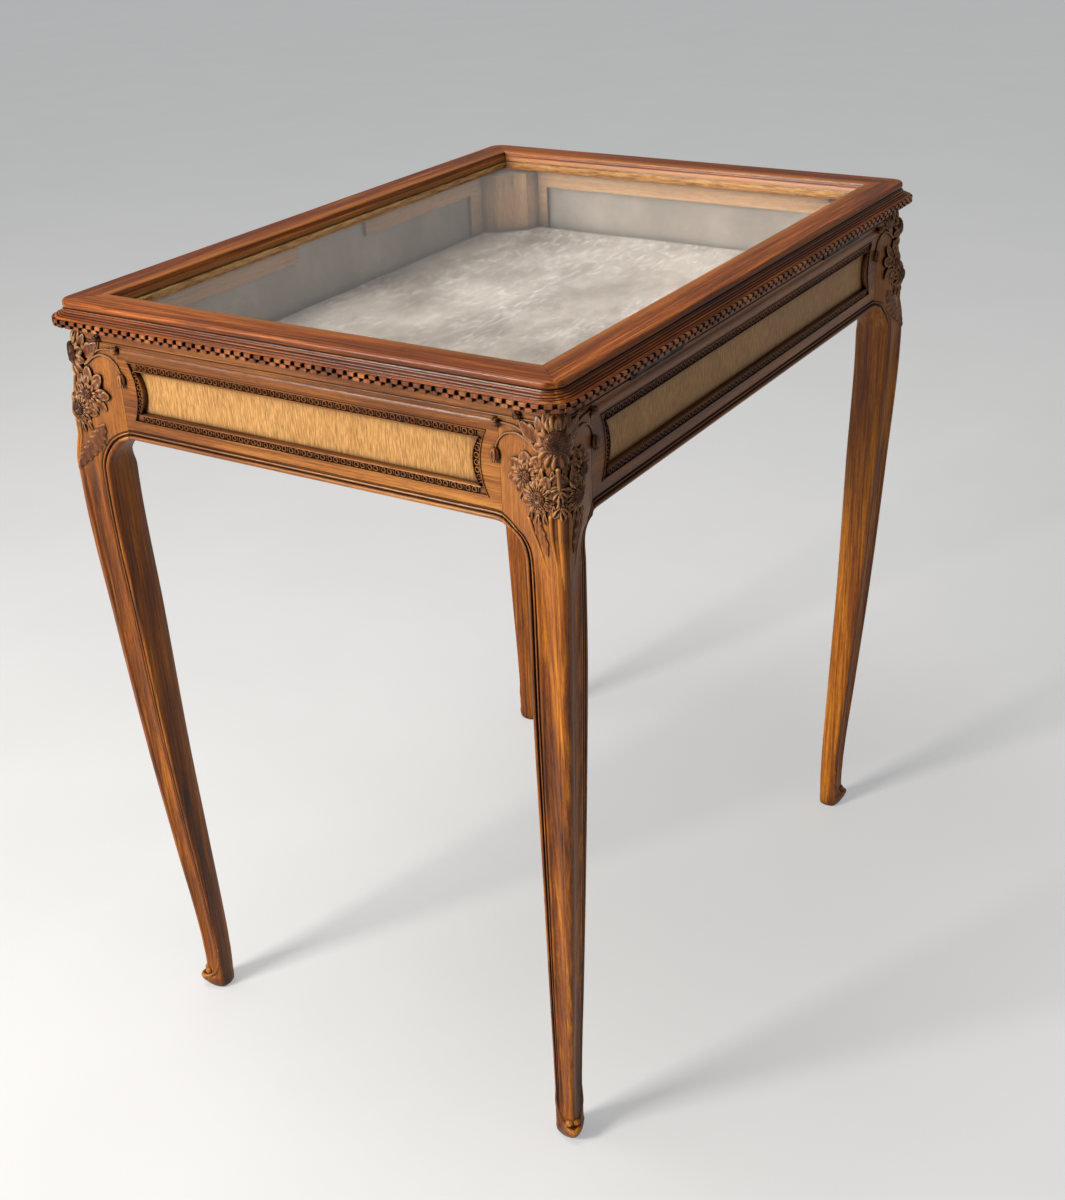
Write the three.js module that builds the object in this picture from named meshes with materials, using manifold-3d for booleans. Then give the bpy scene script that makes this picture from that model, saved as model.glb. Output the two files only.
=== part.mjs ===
// A carved display table: a shallow glazed case with a hinged lid, on four cabriole legs.
// Millimetres, +Z up. X runs along the long sides, Y across; the hinges are on the +Y side,
// the lock is on the -Y side, and the origin is on the floor under the middle of the case.
import * as THREE from "three";
import { mergeVertices } from "three/addons/utils/BufferGeometryUtils.js";
import Module from "manifold-3d";

const wasm = await Module();
wasm.setup();

// Overall sizes
const tableHeight = 760;
const caseLength = 685;
const caseWidth = 493;
const lidEndOverhang = 18.5;
const lidSideOverhang = 18;
const lidThickness = 22;

// Gaps: a glued or seated joint, the running gap under the lid, and the overrun of every cut
const seatGap = 0.3;
const lidGap = 0.5;
const overrun = 2;

// Case walls
const topRailHeight = 13;
const topRailProud = 1.4;
const topRailCornerRadius = 9.5;
const apronHeight = 84.7;
const apronThickness = 12;
const legStock = 50;
const sweepRadius = 32;

// Panel and its carved border on each apron
const borderTopDrop = 12.5;
const borderHeight = 55;
const borderWidth = 8;
const borderBow = 6.5;
const borderEndShort = 11;
const borderEndLong = 15;
const borderFilletWidth = 1.4;
const borderFilletRise = 0.9;
const panelThickness = 3.5;
const panelRecess = 4;

// Fascia above the border and edge moulding along the lower edge
const fasciaHeight = 8;
const fasciaDrop = 2.6;
const fasciaRise = 1.1;
const edgeBeadWidth = 5;
const edgeBeadRise = 1.6;

// Inside the case
const liningThickness = 3;
const frameThickness = 4;
const frameRailHeight = 17.5;
const longStile = 24;
const shortStile = 12;
const notchLength = 112;
const notchBridge = 2;
const postReach = 66;
const postFacet = 17;
const postFacetCant = 4.5;
const legInnerChamfer = 16;
const floorThickness = 6;
const floorRise = 20.5;
const padThickness = 7.2;
const padEdgeRadius = 2.4;
const padCrown = 0.8;
const padClearance = 0.5;
const bearerWidth = 10;
const bearerHeight = 10;

// Legs: how far the knee swells out of the case faces, how far the ankle is set in, and widths
const kneeSwell = 9.5;
const ankleSetIn = 20;
const kneeWidth = 36;
const ankleWidth = 18;
const footHeight = 42;
const footWidth = 22;
const carvingSpan = 46;

// Lid frame: its edge moulding, its dentil course and the glass
const lidCornerRadius = 26.5;
const lidFlatInset = 11.5;
const lidRailWidth = 31.2;
const dentilPitch = 10.4;
const dentilRowHeight = 3.2;
const dentilDepth = 2.6;
const dentilBite = 0.5;
const dentilRise = 1.5;
const lidFootInset = 5;
const glassDrop = 10;
const glassThickness = 3;
const glassLip = 5;
const beadWidth = 8;

// Butt hinges under the back overhang of the lid
const hingeEndInset = 152.5;
const hingeLength = 88;
const hingeLeafThickness = 1.4;
const hingeLeafHeight = 5.1;
const hingeBarrelRadius = 3;
const hingePinRadius = 1.2;
const hingePinHead = 2;
const hingePinHeadLength = 1.6;
const hingeKnuckles = 3;
const hingeBoreClearance = 0.3;
const hingeKnuckleGap = 0.4;
const hingeLeafReach = 7.2;

// Lock in the front wall
const lockLength = 40;
const lockDepth = 7.6;
const lockHeight = 27;
const boltLength = 18;
const boltThickness = 2.6;
const boltHeight = 14;
const boltThrow = 5;
const boltClearance = 0.4;
const strikeLength = 34;
const strikeWidth = 9;
const strikeThickness = 1.2;
const escutcheonRadius = 5.4;
const escutcheonThickness = 1;
const keyholeRadius = 1.5;
const keyholeSlotWidth = 1.6;
const keyholeSlotLength = 4.2;

// Places worked out from the sizes above
const lidLength = caseLength + 2 * lidEndOverhang;
const lidWidth = caseWidth + 2 * lidSideOverhang;
const hingeSpread = caseLength - 2 * hingeEndInset;
const lidBottom = tableHeight - lidThickness;
const caseTop = lidBottom - lidGap;
const topRailBottom = caseTop - topRailHeight;
const apronTop = topRailBottom - seatGap;
const apronBottom = apronTop - apronHeight;
const borderTop = apronTop - borderTopDrop;
const borderBottom = borderTop - borderHeight;
const floorBottom = apronBottom + floorRise;
const floorTop = floorBottom + floorThickness;
const insideTop = caseTop - seatGap;
const insideBottom = floorTop + seatGap;
const liningBack = apronThickness + seatGap;
const liningFace = liningBack + liningThickness;
const frameBack = liningFace + seatGap;
const frameFace = frameBack + frameThickness;
const openEdge = lidFlatInset + lidRailWidth;
const lipEdge = openEdge + glassLip;
const glassTop = tableHeight - glassDrop;
const glassBottom = glassTop - glassThickness;
const hingeAxisY =
  caseWidth / 2 + topRailProud + seatGap + hingeLeafThickness / 2 + hingeBarrelRadius;
const hingeAxisHeight = lidBottom - seatGap - hingeLeafThickness - seatGap - hingeBarrelRadius;
const lockBack = caseWidth / 2 - apronThickness;
const lockTop = insideTop;
const boltY = lockBack + lockDepth / 2;
const boltTop = lockTop - boltClearance;
const boltBottom = boltTop - boltHeight;
const keyholeHeight = apronTop - fasciaDrop - fasciaHeight / 2;

// The four sides: how far each runs and reaches, and how it is turned from the back side
const quarter = Math.PI / 2;
const sides = [
  { name: "back", turn: 0, half: caseLength / 2, reach: caseWidth / 2, long: true },
  { name: "right", turn: -quarter, half: caseWidth / 2, reach: caseLength / 2, long: false },
  { name: "front", turn: 2 * quarter, half: caseLength / 2, reach: caseWidth / 2, long: true },
  { name: "left", turn: quarter, half: caseWidth / 2, reach: caseLength / 2, long: false },
];

// Materials
const material = (color, roughness, metalness = 0) =>
  new THREE.MeshStandardMaterial({ color, roughness, metalness });
const walnut = material(0x8a4a1e, 0.42);
const darkWalnut = material(0x5c2d17, 0.45);
const veneer = material(0xb07d42, 0.5);
const plainWood = material(0xa98258, 0.65);
const silk = material(0xa39a8c, 0.85);
const velvet = material(0x989089, 0.9);
const gilt = material(0xc49a55, 0.38, 0.25);
const darkIron = material(0x2b2622, 0.5, 0.8);
const brass = material(0x9a7a3e, 0.4, 0.9);
const glass = new THREE.MeshStandardMaterial({
  color: 0xdfe9e4, roughness: 0.05, metalness: 0, transparent: true, opacity: 0.3,
});

// A closed solid from any triangle mesh, turned so that its faces point out
function solid(geometry) {
  const bare = new THREE.BufferGeometry();
  const source = geometry.index ? geometry.toNonIndexed() : geometry;
  bare.setAttribute("position", source.getAttribute("position").clone());
  const merged = mergeVertices(bare, 1e-4);
  const points = merged.getAttribute("position");
  const corners = [];
  const index = merged.index.array;
  let volume = 0;
  const [a, b, c] = [new THREE.Vector3(), new THREE.Vector3(), new THREE.Vector3()];
  for (let i = 0; i < index.length; i += 3) {
    const [p, q, r] = [index[i], index[i + 1], index[i + 2]];
    if (p === q || q === r || r === p) continue;
    corners.push(p, q, r);
    a.fromBufferAttribute(points, p);
    b.fromBufferAttribute(points, q);
    c.fromBufferAttribute(points, r);
    volume += a.dot(b.cross(c));
  }
  if (volume < 0) corners.reverse();
  return new wasm.Manifold(
    new wasm.Mesh({
      numProp: 3,
      vertProperties: new Float32Array(points.array),
      triVerts: new Uint32Array(corners),
    }),
  );
}

// The triangle mesh of a solid
function geometryOf(made) {
  const mesh = made.getMesh();
  const geometry = new THREE.BufferGeometry();
  const places = new Float32Array(mesh.numVert * 3);
  for (let i = 0; i < mesh.numVert; i++) {
    places.set(mesh.vertProperties.subarray(i * mesh.numProp, i * mesh.numProp + 3), i * 3);
  }
  geometry.setAttribute("position", new THREE.BufferAttribute(places, 3));
  geometry.setIndex(new THREE.BufferAttribute(mesh.triVerts, 1));
  geometry.computeVertexNormals();
  return geometry;
}

const joined = (...pieces) => wasm.Manifold.union(pieces);
const cutBy = (first, ...rest) => rest.reduce((sum, piece) => sum.subtract(piece), first);

// Triangles from rings of points, closed by the given flat outline at each end
function loft(rings, caps) {
  const places = [];
  const push = (...points) => points.forEach((p) => places.push(p.x, p.y, p.z));
  const count = rings[0].length;
  for (let k = 0; k + 1 < rings.length; k++) {
    for (let j = 0; j < count; j++) {
      const next = (j + 1) % count;
      push(rings[k][j], rings[k][next], rings[k + 1][next]);
      push(rings[k][j], rings[k + 1][next], rings[k + 1][j]);
    }
  }
  caps.forEach((outline, end) => {
    const ring = rings[end * (rings.length - 1)];
    const turned = THREE.ShapeUtils.isClockWise(outline) === (end === 0);
    THREE.ShapeUtils.triangulateShape(outline, []).forEach(([p, q, r]) => {
      push(ring[p], ring[turned ? q : r], ring[turned ? r : q]);
    });
  });
  const geometry = new THREE.BufferGeometry();
  geometry.setAttribute("position", new THREE.Float32BufferAttribute(places, 3));
  return geometry;
}

// A block between two corners
function block(x0, x1, y0, y1, z0, z1) {
  const geometry = new THREE.BoxGeometry(x1 - x0, y1 - y0, z1 - z0);
  geometry.translate((x0 + x1) / 2, (y0 + y1) / 2, (z0 + z1) / 2);
  return geometry;
}

// A shape drawn on a side's face (along, up), run inwards from one depth to another
function facePlate(shape, outer, inner) {
  const geometry = new THREE.ExtrudeGeometry(shape, {
    depth: outer - inner, bevelEnabled: false, curveSegments: 3,
  });
  return geometry.rotateX(quarter).translate(0, outer, 0);
}

// A section drawn as (depth, up) pairs, run straight along a side
function strip(section, from, to) {
  const rings = [from, to].map((x) => section.map(([y, z]) => new THREE.Vector3(x, y, z)));
  const cap = section.map(([y, z]) => new THREE.Vector2(y, z));
  return loft(rings, [cap, cap]);
}

// A flat outline in plan, run upwards
function column(outline, bottom, top) {
  const shape = new THREE.Shape(outline.map(([x, y]) => new THREE.Vector2(x, y)));
  const geometry = new THREE.ExtrudeGeometry(shape, { depth: top - bottom, bevelEnabled: false });
  return geometry.translate(0, 0, bottom);
}

// The four corner saw cuts that part mitred members
function kerfs(halfAlong, halfOut) {
  const corner = new THREE.BoxGeometry(halfAlong, seatGap, 2 * tableHeight);
  return [-1, 1].map((end) => {
    const cut = corner.clone().rotateZ((end * quarter) / 2);
    return solid(cut.translate(end * halfAlong, halfOut, 0));
  });
}

// A point on a rounded rectangle, a distance inside its outline, on the side that faces +Y
function outlinePoint(halfAlong, halfOut, radius, run, inset) {
  const arc = (radius * quarter) / 2;
  const straight = 2 * (halfAlong - radius);
  const round = Math.max(radius - inset, 0);
  const [cx, cy] = [halfAlong - inset - round, halfOut - inset - round];
  if (run <= arc) {
    const angle = quarter / 2 + run / radius;
    return [cx + round * Math.cos(angle), cy + round * Math.sin(angle)];
  }
  if (run >= arc + straight) {
    const angle = quarter + (run - arc - straight) / radius;
    return [-cx + round * Math.cos(angle), cy + round * Math.sin(angle)];
  }
  return [cx - (2 * cx * (run - arc)) / straight, halfOut - inset];
}

// Stations along one side of a rounded rectangle, from the middle of one corner to the next
const cornerSteps = 3;

function stations(halfAlong, radius) {
  const arc = (radius * quarter) / 2;
  const straight = 2 * (halfAlong - radius);
  const runs = [];
  for (let i = 0; i <= cornerSteps; i++) runs.push((arc * i) / cornerSteps);
  for (let i = 0; i <= cornerSteps; i++) runs.push(arc + straight + (arc * i) / cornerSteps);
  return runs;
}

// One member of a frame: a section of (inset, up) pairs run round half of each corner
function member(section, halfAlong, halfOut, radius) {
  const rings = stations(halfAlong, radius).map((run) =>
    section.map(([inset, z]) => {
      const [x, y] = outlinePoint(halfAlong, halfOut, radius, run, inset);
      return new THREE.Vector3(x, y, z);
    }),
  );
  const cap = section.map(([inset, z]) => new THREE.Vector2(inset, z));
  return solid(loft(rings, [cap, cap]));
}

const root = new THREE.Group();

function place(name, geometry, finish, turn = 0) {
  const mesh = new THREE.Mesh(geometry, finish);
  mesh.name = name;
  mesh.rotation.z = turn;
  root.add(mesh);
}

// Legs
// Foot rows: height, set-in and width as shares of footHeight, ankleSetIn and footWidth,
// roundness, and how far the toe is drawn out as a share of the width
const footShares = [
  [0, 0.97, 0.64, 1, 0], [0.1, 0.83, 0.89, 1, 0.04], [0.22, 0.8, 0.94, 1, 0.06],
  [0.27, 0.9, 0.81, 1, 0.06], [0.33, 0.79, 1, 0.85, 0.2], [0.42, 0.86, 0.92, 0.7, 0.12],
  [0.62, 0.92, 0.88, 0.45, 0.03], [0.82, 0.96, 0.84, 0.25, 0.03],
];
// Shaft rows: height share from foot to sweep, swell share of kneeSwell, set-in share, width share
const shaftShares = [
  [0, 0, 0.98, 0], [0.06, 0, 0.93, 0.04], [0.24, 0, 0.59, 0.27], [0.46, 0, 0.2, 0.52],
  [0.72, 0.33, 0, 0.79], [1, 1, 0, 1],
];
// Shoulder rows: height share from the sweep's end to the top, swell share
const shoulderShares = [[0.04, 0.98], [0.36, 0.82], [0.7, 0.42], [1, 0]];
// One face of the section: place from the arris to the inner edge, and depth, as shares of width
const faceShares = [[0.16, 0], [0.5, 0.09], [0.76, 0.03], [0.83, 0.06], [1, 0.04]];
const arrisShare = 0.05;
const innerCornerShare = 0.05;
const arrisReachShare = 0.07;
const heelReachShare = 0.03;
const sweepFlushShare = 0.25;
const faceFlushPower = 2;
const sweepSteps = 3;

function sectionRing({ z, out, width, moulded, flush, round, reach, chamfer }) {
  const inner = width - out;
  const arris = arrisShare * width - out;
  const face = faceShares.map(([along, depth]) => {
    const swell = out * (1 - flush * Math.pow(along, faceFlushPower));
    return [along * width - out, depth * width * moulded - swell];
  });
  const corner = innerCornerShare * width * (1 - flush) + chamfer;
  const points = [
    [arris, arris],
    ...face,
    [inner, inner - corner],
    [inner - corner, inner],
    ...face.map(([along, depth]) => [depth, along]).reverse(),
  ];
  const middle = (inner - out) / 2;
  return points.map(([p, q]) => {
    const [dp, dq] = [p - middle, q - middle];
    const pull = 1 - round + (round * width) / (2 * Math.hypot(dp, dq));
    const lean = (-pull * (dp + dq)) / width;
    const drawn = (lean > 0 ? reach : heelReachShare) * (1 - flush) * lean * width;
    return new THREE.Vector3(middle + dp * pull - drawn, middle + dq * pull - drawn, z);
  });
}

function legRows() {
  const sweepBottom = apronBottom - sweepRadius;
  const rows = footShares.map(([up, setIn, wide, round, reach]) => ({
    z: up * footHeight, out: -setIn * ankleSetIn, width: wide * footWidth,
    moulded: 0, flush: 0, round, reach, chamfer: 0,
  }));
  shaftShares.forEach(([up, swell, setIn, wide], i) => {
    rows.push({
      z: footHeight + up * (sweepBottom - footHeight),
      out: swell * kneeSwell - setIn * ankleSetIn,
      width: ankleWidth + wide * (kneeWidth - ankleWidth),
      moulded: Math.min(i, 1), flush: 0, round: 0, reach: arrisReachShare, chamfer: 0,
    });
  });
  const last = rows[rows.length - 1];
  last.flush = sweepFlushShare;
  const centre = last.width - last.out + sweepRadius;
  const angleEnd = Math.acos((centre - legStock) / sweepRadius);
  for (let i = 1; i <= sweepSteps; i++) {
    const share = i / sweepSteps;
    const out = last.out + share * (shoulderShares[0][1] * kneeSwell - last.out);
    rows.push({
      z: sweepBottom + sweepRadius * Math.sin(share * angleEnd),
      out, width: centre - sweepRadius * Math.cos(share * angleEnd) + out,
      moulded: 1 - share, flush: sweepFlushShare + share * (1 - sweepFlushShare),
      round: 0, reach: arrisReachShare, chamfer: share * legInnerChamfer,
    });
  }
  const shoulderBottom = rows[rows.length - 1].z;
  shoulderShares.forEach(([up, swell]) => {
    rows.push({
      z: shoulderBottom + up * (apronTop - shoulderBottom),
      out: swell * kneeSwell, width: legStock + swell * kneeSwell,
      moulded: 0, flush: 1, round: 0, reach: 0, chamfer: legInnerChamfer,
    });
  });
  return rows;
}

// Carved flower: a star of petals drooping from a raised heart, seated on the leg by its normal
const petals = 8;
const petalShares = [[0.66, 0], [1, 0.5]];
const heartShare = 0.5;
const heartTopShare = 0.4;
const heartRiseShare = 0.14;

function flower(radius, thickness, droop, centre, normal) {
  const star = [];
  for (let i = 0; i < petals; i++) {
    petalShares.forEach(([far, along]) => {
      const angle = (4 * quarter * (i + along)) / petals;
      star.push(new THREE.Vector2(Math.cos(angle), Math.sin(angle)).multiplyScalar(far * radius));
    });
  }
  const ring = (share, z) => star.map((p) => new THREE.Vector3(share * p.x, share * p.y, z));
  const round = (share, z) => star.map((p) => {
    const flat = p.clone().setLength(share * radius);
    return new THREE.Vector3(flat.x, flat.y, z);
  });
  const rings = [
    ring(1, -thickness), ring(1, -droop), round(heartShare, 0),
    round(heartTopShare, heartRiseShare * radius),
  ];
  const turn = new THREE.Quaternion().setFromUnitVectors(
    new THREE.Vector3(0, 0, 1), normal.clone().normalize(),
  );
  const seat = new THREE.Matrix4().compose(centre, turn, new THREE.Vector3(1, 1, 1));
  return solid(loft(rings, [star, star]).applyMatrix4(seat));
}

// Flowers on one knee, as shares: of carvingSpan along the face, up and in radius; of kneeSwell out
const arrisFlowerShares = { up: 1.51, size: 0.29, out: 0.2 };
const faceFlowerShares = [{ along: 0.42, up: 0.8, size: 0.27, out: 0.95 }];
const carvingThicknessShare = 0.14;
const arrisDroopShare = 0.12;
const faceDroopShare = 0.04;

function kneeCarving() {
  const thickness = carvingThicknessShare * carvingSpan;
  const droop = faceDroopShare * carvingSpan;
  const pieces = faceFlowerShares.flatMap(({ along, up, size, out }) => {
    const [far, deep] = [along * carvingSpan, -out * kneeSwell];
    const z = apronBottom + up * carvingSpan;
    const radius = size * carvingSpan;
    return [
      flower(radius, thickness, droop, new THREE.Vector3(deep, far, z), new THREE.Vector3(-1, 0, 0)),
      flower(radius, thickness, droop, new THREE.Vector3(far, deep, z), new THREE.Vector3(0, -1, 0)),
    ];
  });
  const { up, size, out } = arrisFlowerShares;
  const deep = -out * kneeSwell;
  const arrisDroop = arrisDroopShare * carvingSpan;
  const centre = new THREE.Vector3(deep, deep, apronBottom + up * carvingSpan);
  pieces.push(
    flower(size * carvingSpan, thickness + arrisDroop, arrisDroop, centre, new THREE.Vector3(-1, -1, 0)),
  );
  return pieces;
}

function legGeometry(signX, signY) {
  const rings = legRows().map(sectionRing);
  const cap = (ring) => ring.map((p) => new THREE.Vector2(p.x, p.y));
  const plain = solid(loft(rings, [cap(rings[0]), cap(rings[rings.length - 1])]));
  const carved = geometryOf(joined(plain, ...kneeCarving()));
  const spot = carved.getAttribute("position");
  for (let i = 0; i < spot.count; i++) {
    const [p, q] = [spot.getX(i), spot.getY(i)];
    spot.setXY(i, signX * (caseLength / 2 - p), signY * (caseWidth / 2 - q));
  }
  return geometryOf(solid(carved));
}

const corners = [
  { name: "back_right", signX: 1, signY: 1 }, { name: "back_left", signX: -1, signY: 1 },
  { name: "front_left", signX: -1, signY: -1 }, { name: "front_right", signX: 1, signY: -1 },
];
corners.forEach(({ name, signX, signY }) => {
  place("leg_" + name, legGeometry(signX, signY), walnut);
});

// Apron outlines: straight above, swept down into the legs at both ends below
const sweepCentre = legRows()[footShares.length + shaftShares.length - 1];
const sweepCentreInset = sweepCentre.width - sweepCentre.out + sweepRadius;

function sweptEdge(path, half, end, grow, back) {
  const radius = sweepRadius + grow;
  const centreX = half - sweepCentreInset;
  const centreZ = apronBottom - sweepRadius;
  const start = Math.acos(Math.min((end - centreX) / radius, 1));
  const arcs = [[-centreX, 2 * quarter - start, quarter], [centreX, quarter, start]];
  if (back) arcs.reverse().forEach((arc) => arc.splice(1, 2, arc[2], arc[1]));
  arcs.forEach(([x, from, to]) => path.absarc(x, centreZ, radius, from, to, !back));
}

function apronOutline(half, end) {
  const shape = new THREE.Shape();
  sweptEdge(shape, half, end, 0, false);
  return shape.lineTo(end, apronTop).lineTo(-end, apronTop);
}

function edgeBead(half, end) {
  const shape = new THREE.Shape();
  sweptEdge(shape, half, end, 0, false);
  sweptEdge(shape, half, end, edgeBeadWidth, true);
  return shape;
}

// Border outline on an apron: straight top and bottom, ends bowed in towards the middle
function borderOutline(target, halfAlong, inset) {
  const [x, z0, z1] = [halfAlong - inset, borderBottom + inset, borderTop - inset];
  const middle = (z0 + z1) / 2;
  const halfUp = (z1 - z0) / 2;
  const radius = (halfUp ** 2 + borderBow ** 2) / (2 * borderBow);
  const swing = Math.asin(halfUp / radius);
  const centreX = x + radius * Math.cos(swing);
  target.moveTo(-x, z0);
  target.lineTo(x, z0);
  target.absarc(centreX, middle, radius, 2 * quarter + swing, 2 * quarter - swing, true);
  target.lineTo(-x, z1);
  target.absarc(-centreX, middle, radius, swing, -swing, true);
  return target;
}

function borderRing(halfAlong, inset, width) {
  const shape = borderOutline(new THREE.Shape(), halfAlong, inset);
  shape.holes.push(borderOutline(new THREE.Path(), halfAlong, inset + width));
  return shape;
}

// Fascia section: how far it stands out and up, as shares
const fasciaShares = [[0.2, 0], [0.85, 0.2], [1, 0.5], [0.85, 0.8], [0.2, 1]];

function apron({ name, half, reach, long }) {
  const end = half - legStock - seatGap;
  const borderHalf = end - (long ? borderEndLong : borderEndShort);
  const fasciaBottom = apronTop - fasciaDrop - fasciaHeight;
  const fascia = fasciaShares.map(([out, up]) => [
    reach + out * fasciaRise, fasciaBottom + up * fasciaHeight,
  ]);
  fascia.unshift([reach - overrun, fasciaBottom]);
  fascia.push([reach - overrun, fasciaBottom + fasciaHeight]);
  const raised = (shape, rise) => solid(facePlate(shape, reach + rise, reach - overrun));
  const innerFillet = borderWidth - borderFilletWidth;
  const wall = joined(
    solid(facePlate(apronOutline(half, end), reach, reach - apronThickness)),
    solid(strip(fascia, -end, end)),
    raised(edgeBead(half, end), edgeBeadRise),
    raised(borderRing(borderHalf, 0, borderFilletWidth), borderFilletRise),
    raised(borderRing(borderHalf, innerFillet, borderFilletWidth + overrun), borderFilletRise),
  );
  const opening = borderOutline(new THREE.Shape(), borderHalf, borderWidth);
  const pocketBack = reach - panelRecess - panelThickness - seatGap;
  const cuts = [solid(facePlate(opening, reach + overrun, pocketBack))];
  if (name === "front") cuts.push(lockPocket(), keyCutter());
  const seat = borderOutline(new THREE.Shape(), borderHalf, borderWidth + seatGap);
  const panelFace = reach - panelRecess;
  return {
    wall: geometryOf(cutBy(wall, ...cuts)),
    panel: facePlate(seat, panelFace, panelFace - panelThickness),
  };
}

// Inner frame: a rail over two stiles, with a notch in the front rail behind the lock
function innerFrame({ name, half, reach, long }) {
  const end = half - postReach - seatGap;
  const railBottom = insideTop - frameRailHeight;
  const stile = long ? longStile : shortStile;
  const [outer, inner] = [reach - frameBack, reach - frameFace];
  const shape = new THREE.Shape();
  shape.moveTo(-end, insideBottom).lineTo(stile - end, insideBottom).lineTo(stile - end, railBottom);
  if (name === "front") {
    shape.lineTo(-notchLength / 2, railBottom).lineTo(-notchLength / 2, insideTop - notchBridge);
    shape.lineTo(notchLength / 2, insideTop - notchBridge).lineTo(notchLength / 2, railBottom);
  }
  shape.lineTo(end - stile, railBottom).lineTo(end - stile, insideBottom).lineTo(end, insideBottom);
  shape.lineTo(end, insideTop).lineTo(-end, insideTop);
  return facePlate(shape, outer, inner);
}

// Top rail section: inset as a share of topRailProud, height as a share of topRailHeight
const topRailShares = [[0.45, 0], [0, 0.07], [0.3, 0.15], [0.3, 0.95], [0.7, 1]];

function topRail({ name, half, reach }) {
  const section = topRailShares.map(([inset, up]) => [
    inset * topRailProud, topRailBottom + up * topRailHeight,
  ]);
  const back = apronThickness + topRailProud;
  section.push([back, caseTop], [back, topRailBottom]);
  const [halfAlong, halfOut] = [half + topRailProud, reach + topRailProud];
  const rail = member(section, halfAlong, halfOut, topRailCornerRadius);
  const cuts = kerfs(halfAlong, halfOut);
  if (name === "front") cuts.push(lockPocket());
  return geometryOf(cutBy(rail, ...cuts));
}

// Walls, one side at a time
sides.forEach((side) => {
  const { name, turn, half, reach } = side;
  const { wall, panel } = apron(side);
  place("apron_" + name, wall, walnut, turn);
  place("panel_" + name, panel, veneer, turn);
  place("top_rail_" + name, topRail(side), walnut, turn);
  const end = half - legStock - seatGap;
  const lining = block(
    -end, end, reach - liningFace, reach - liningBack, insideBottom, insideTop,
  );
  place("lining_" + name, lining, silk, turn);
  place("inner_frame_" + name, innerFrame(side), plainWood, turn);
  const bearerFace = reach - apronThickness - seatGap;
  const bearerTop = floorBottom - seatGap;
  const bearer = block(
    -end, end, bearerFace - bearerWidth, bearerFace, bearerTop - bearerHeight, bearerTop,
  );
  place("floor_bearer_" + name, bearer, plainWood, turn);
});

// Corner posts: faceted fillers inside the legs, each with a block that closes the leg's top
const nearLeg = legStock + seatGap;
const legSide = 2 * legStock - legInnerChamfer + 2 * seatGap - nearLeg;
const facetAcross = frameFace + postFacet;
const postCant = postReach - postFacetCant;

corners.forEach(({ name, signX, signY }) => {
  const toCase = ([p, q]) => [signX * (caseLength / 2 - p), signY * (caseWidth / 2 - q)];
  const filler = [
    [postReach, frameFace], [postCant, facetAcross], [facetAcross, postCant],
    [frameFace, postReach], [frameBack, postReach], [frameBack, nearLeg], [legSide, nearLeg],
    [nearLeg, legSide], [nearLeg, frameBack], [postReach, frameBack],
  ];
  const [near, far] = [apronThickness + seatGap, legStock];
  const top = [[near, near], [far, near], [far, far], [near, far]];
  const post = joined(
    solid(column(filler.map(toCase), insideBottom, insideTop)),
    solid(column(top.map(toCase), topRailBottom, insideTop)),
  );
  place("corner_post_" + name, geometryOf(post), plainWood);
});

// An outline round the case from one corner's (p, q) insets, listed from the end to the side
function roundCase(cornerInsets) {
  return corners.flatMap(({ signX, signY }) => {
    const points = cornerInsets.map(([p, q]) => [
      signX * (caseLength / 2 - p), signY * (caseWidth / 2 - q),
    ]);
    return signX === signY ? points : points.reverse();
  });
}

// Floor board on its bearers, let round the legs
const floorOutline = roundCase([
  [liningBack, nearLeg], [legSide, nearLeg], [nearLeg, legSide], [nearLeg, liningBack],
]);
place("floor_board", column(floorOutline, floorBottom, floorTop), plainWood);

// Floor pad: velvet over a thin board, with rounded edges and a slight crown
const padEdgeShares = [[0, 0], [0.12, 0.5], [0.5, 0.87], [1, 1]];
const padCrownShares = [[0.1, 0.6], [0.35, 1]];

function padRing(inset, z) {
  const c = padClearance + inset;
  const outline = roundCase([
    [frameFace + c, postReach + c], [facetAcross + c, postCant + c],
    [postCant + c, facetAcross + c], [postReach + c, frameFace + c],
  ]);
  return outline.map(([x, y]) => new THREE.Vector3(x, y, z));
}
const padTop = insideBottom + padThickness;
const padRings = [padRing(0, insideBottom)];
padEdgeShares.forEach(([inset, up]) => {
  padRings.push(padRing(inset * padEdgeRadius, padTop - padCrown - (1 - up) * padEdgeRadius));
});
padCrownShares.forEach(([inset, up]) => {
  padRings.push(padRing((inset * caseWidth) / 2, padTop - (1 - up) * padCrown));
});
const padCap = (ring) => ring.map((p) => new THREE.Vector2(p.x, p.y));
const pad = loft(padRings, [padCap(padRings[0]), padCap(padRings[padRings.length - 1])]);
place("floor_pad", pad, velvet);

// Lid rails: outer moulding as shares of lidFlatInset in and of lidThickness down from the top
const lidEdgeShares = [
  [1.13, 0], [0.96, 0.07], [0.9, 0.22], [1.06, 0.32], [1.06, 0.43], [0.8, 0.455], [0.6, 0.5],
  [0.43, 0.545], [0.26, 0.6],
];
// Stepped inner edge over the glass, as shares of glassLip in and of glassDrop down from the top
const lipShares = [[1, 0.85], [0.5, 0.32], [0.3, 0.25], [0, 0]];
const dentilWidthShare = 0.44;

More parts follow.
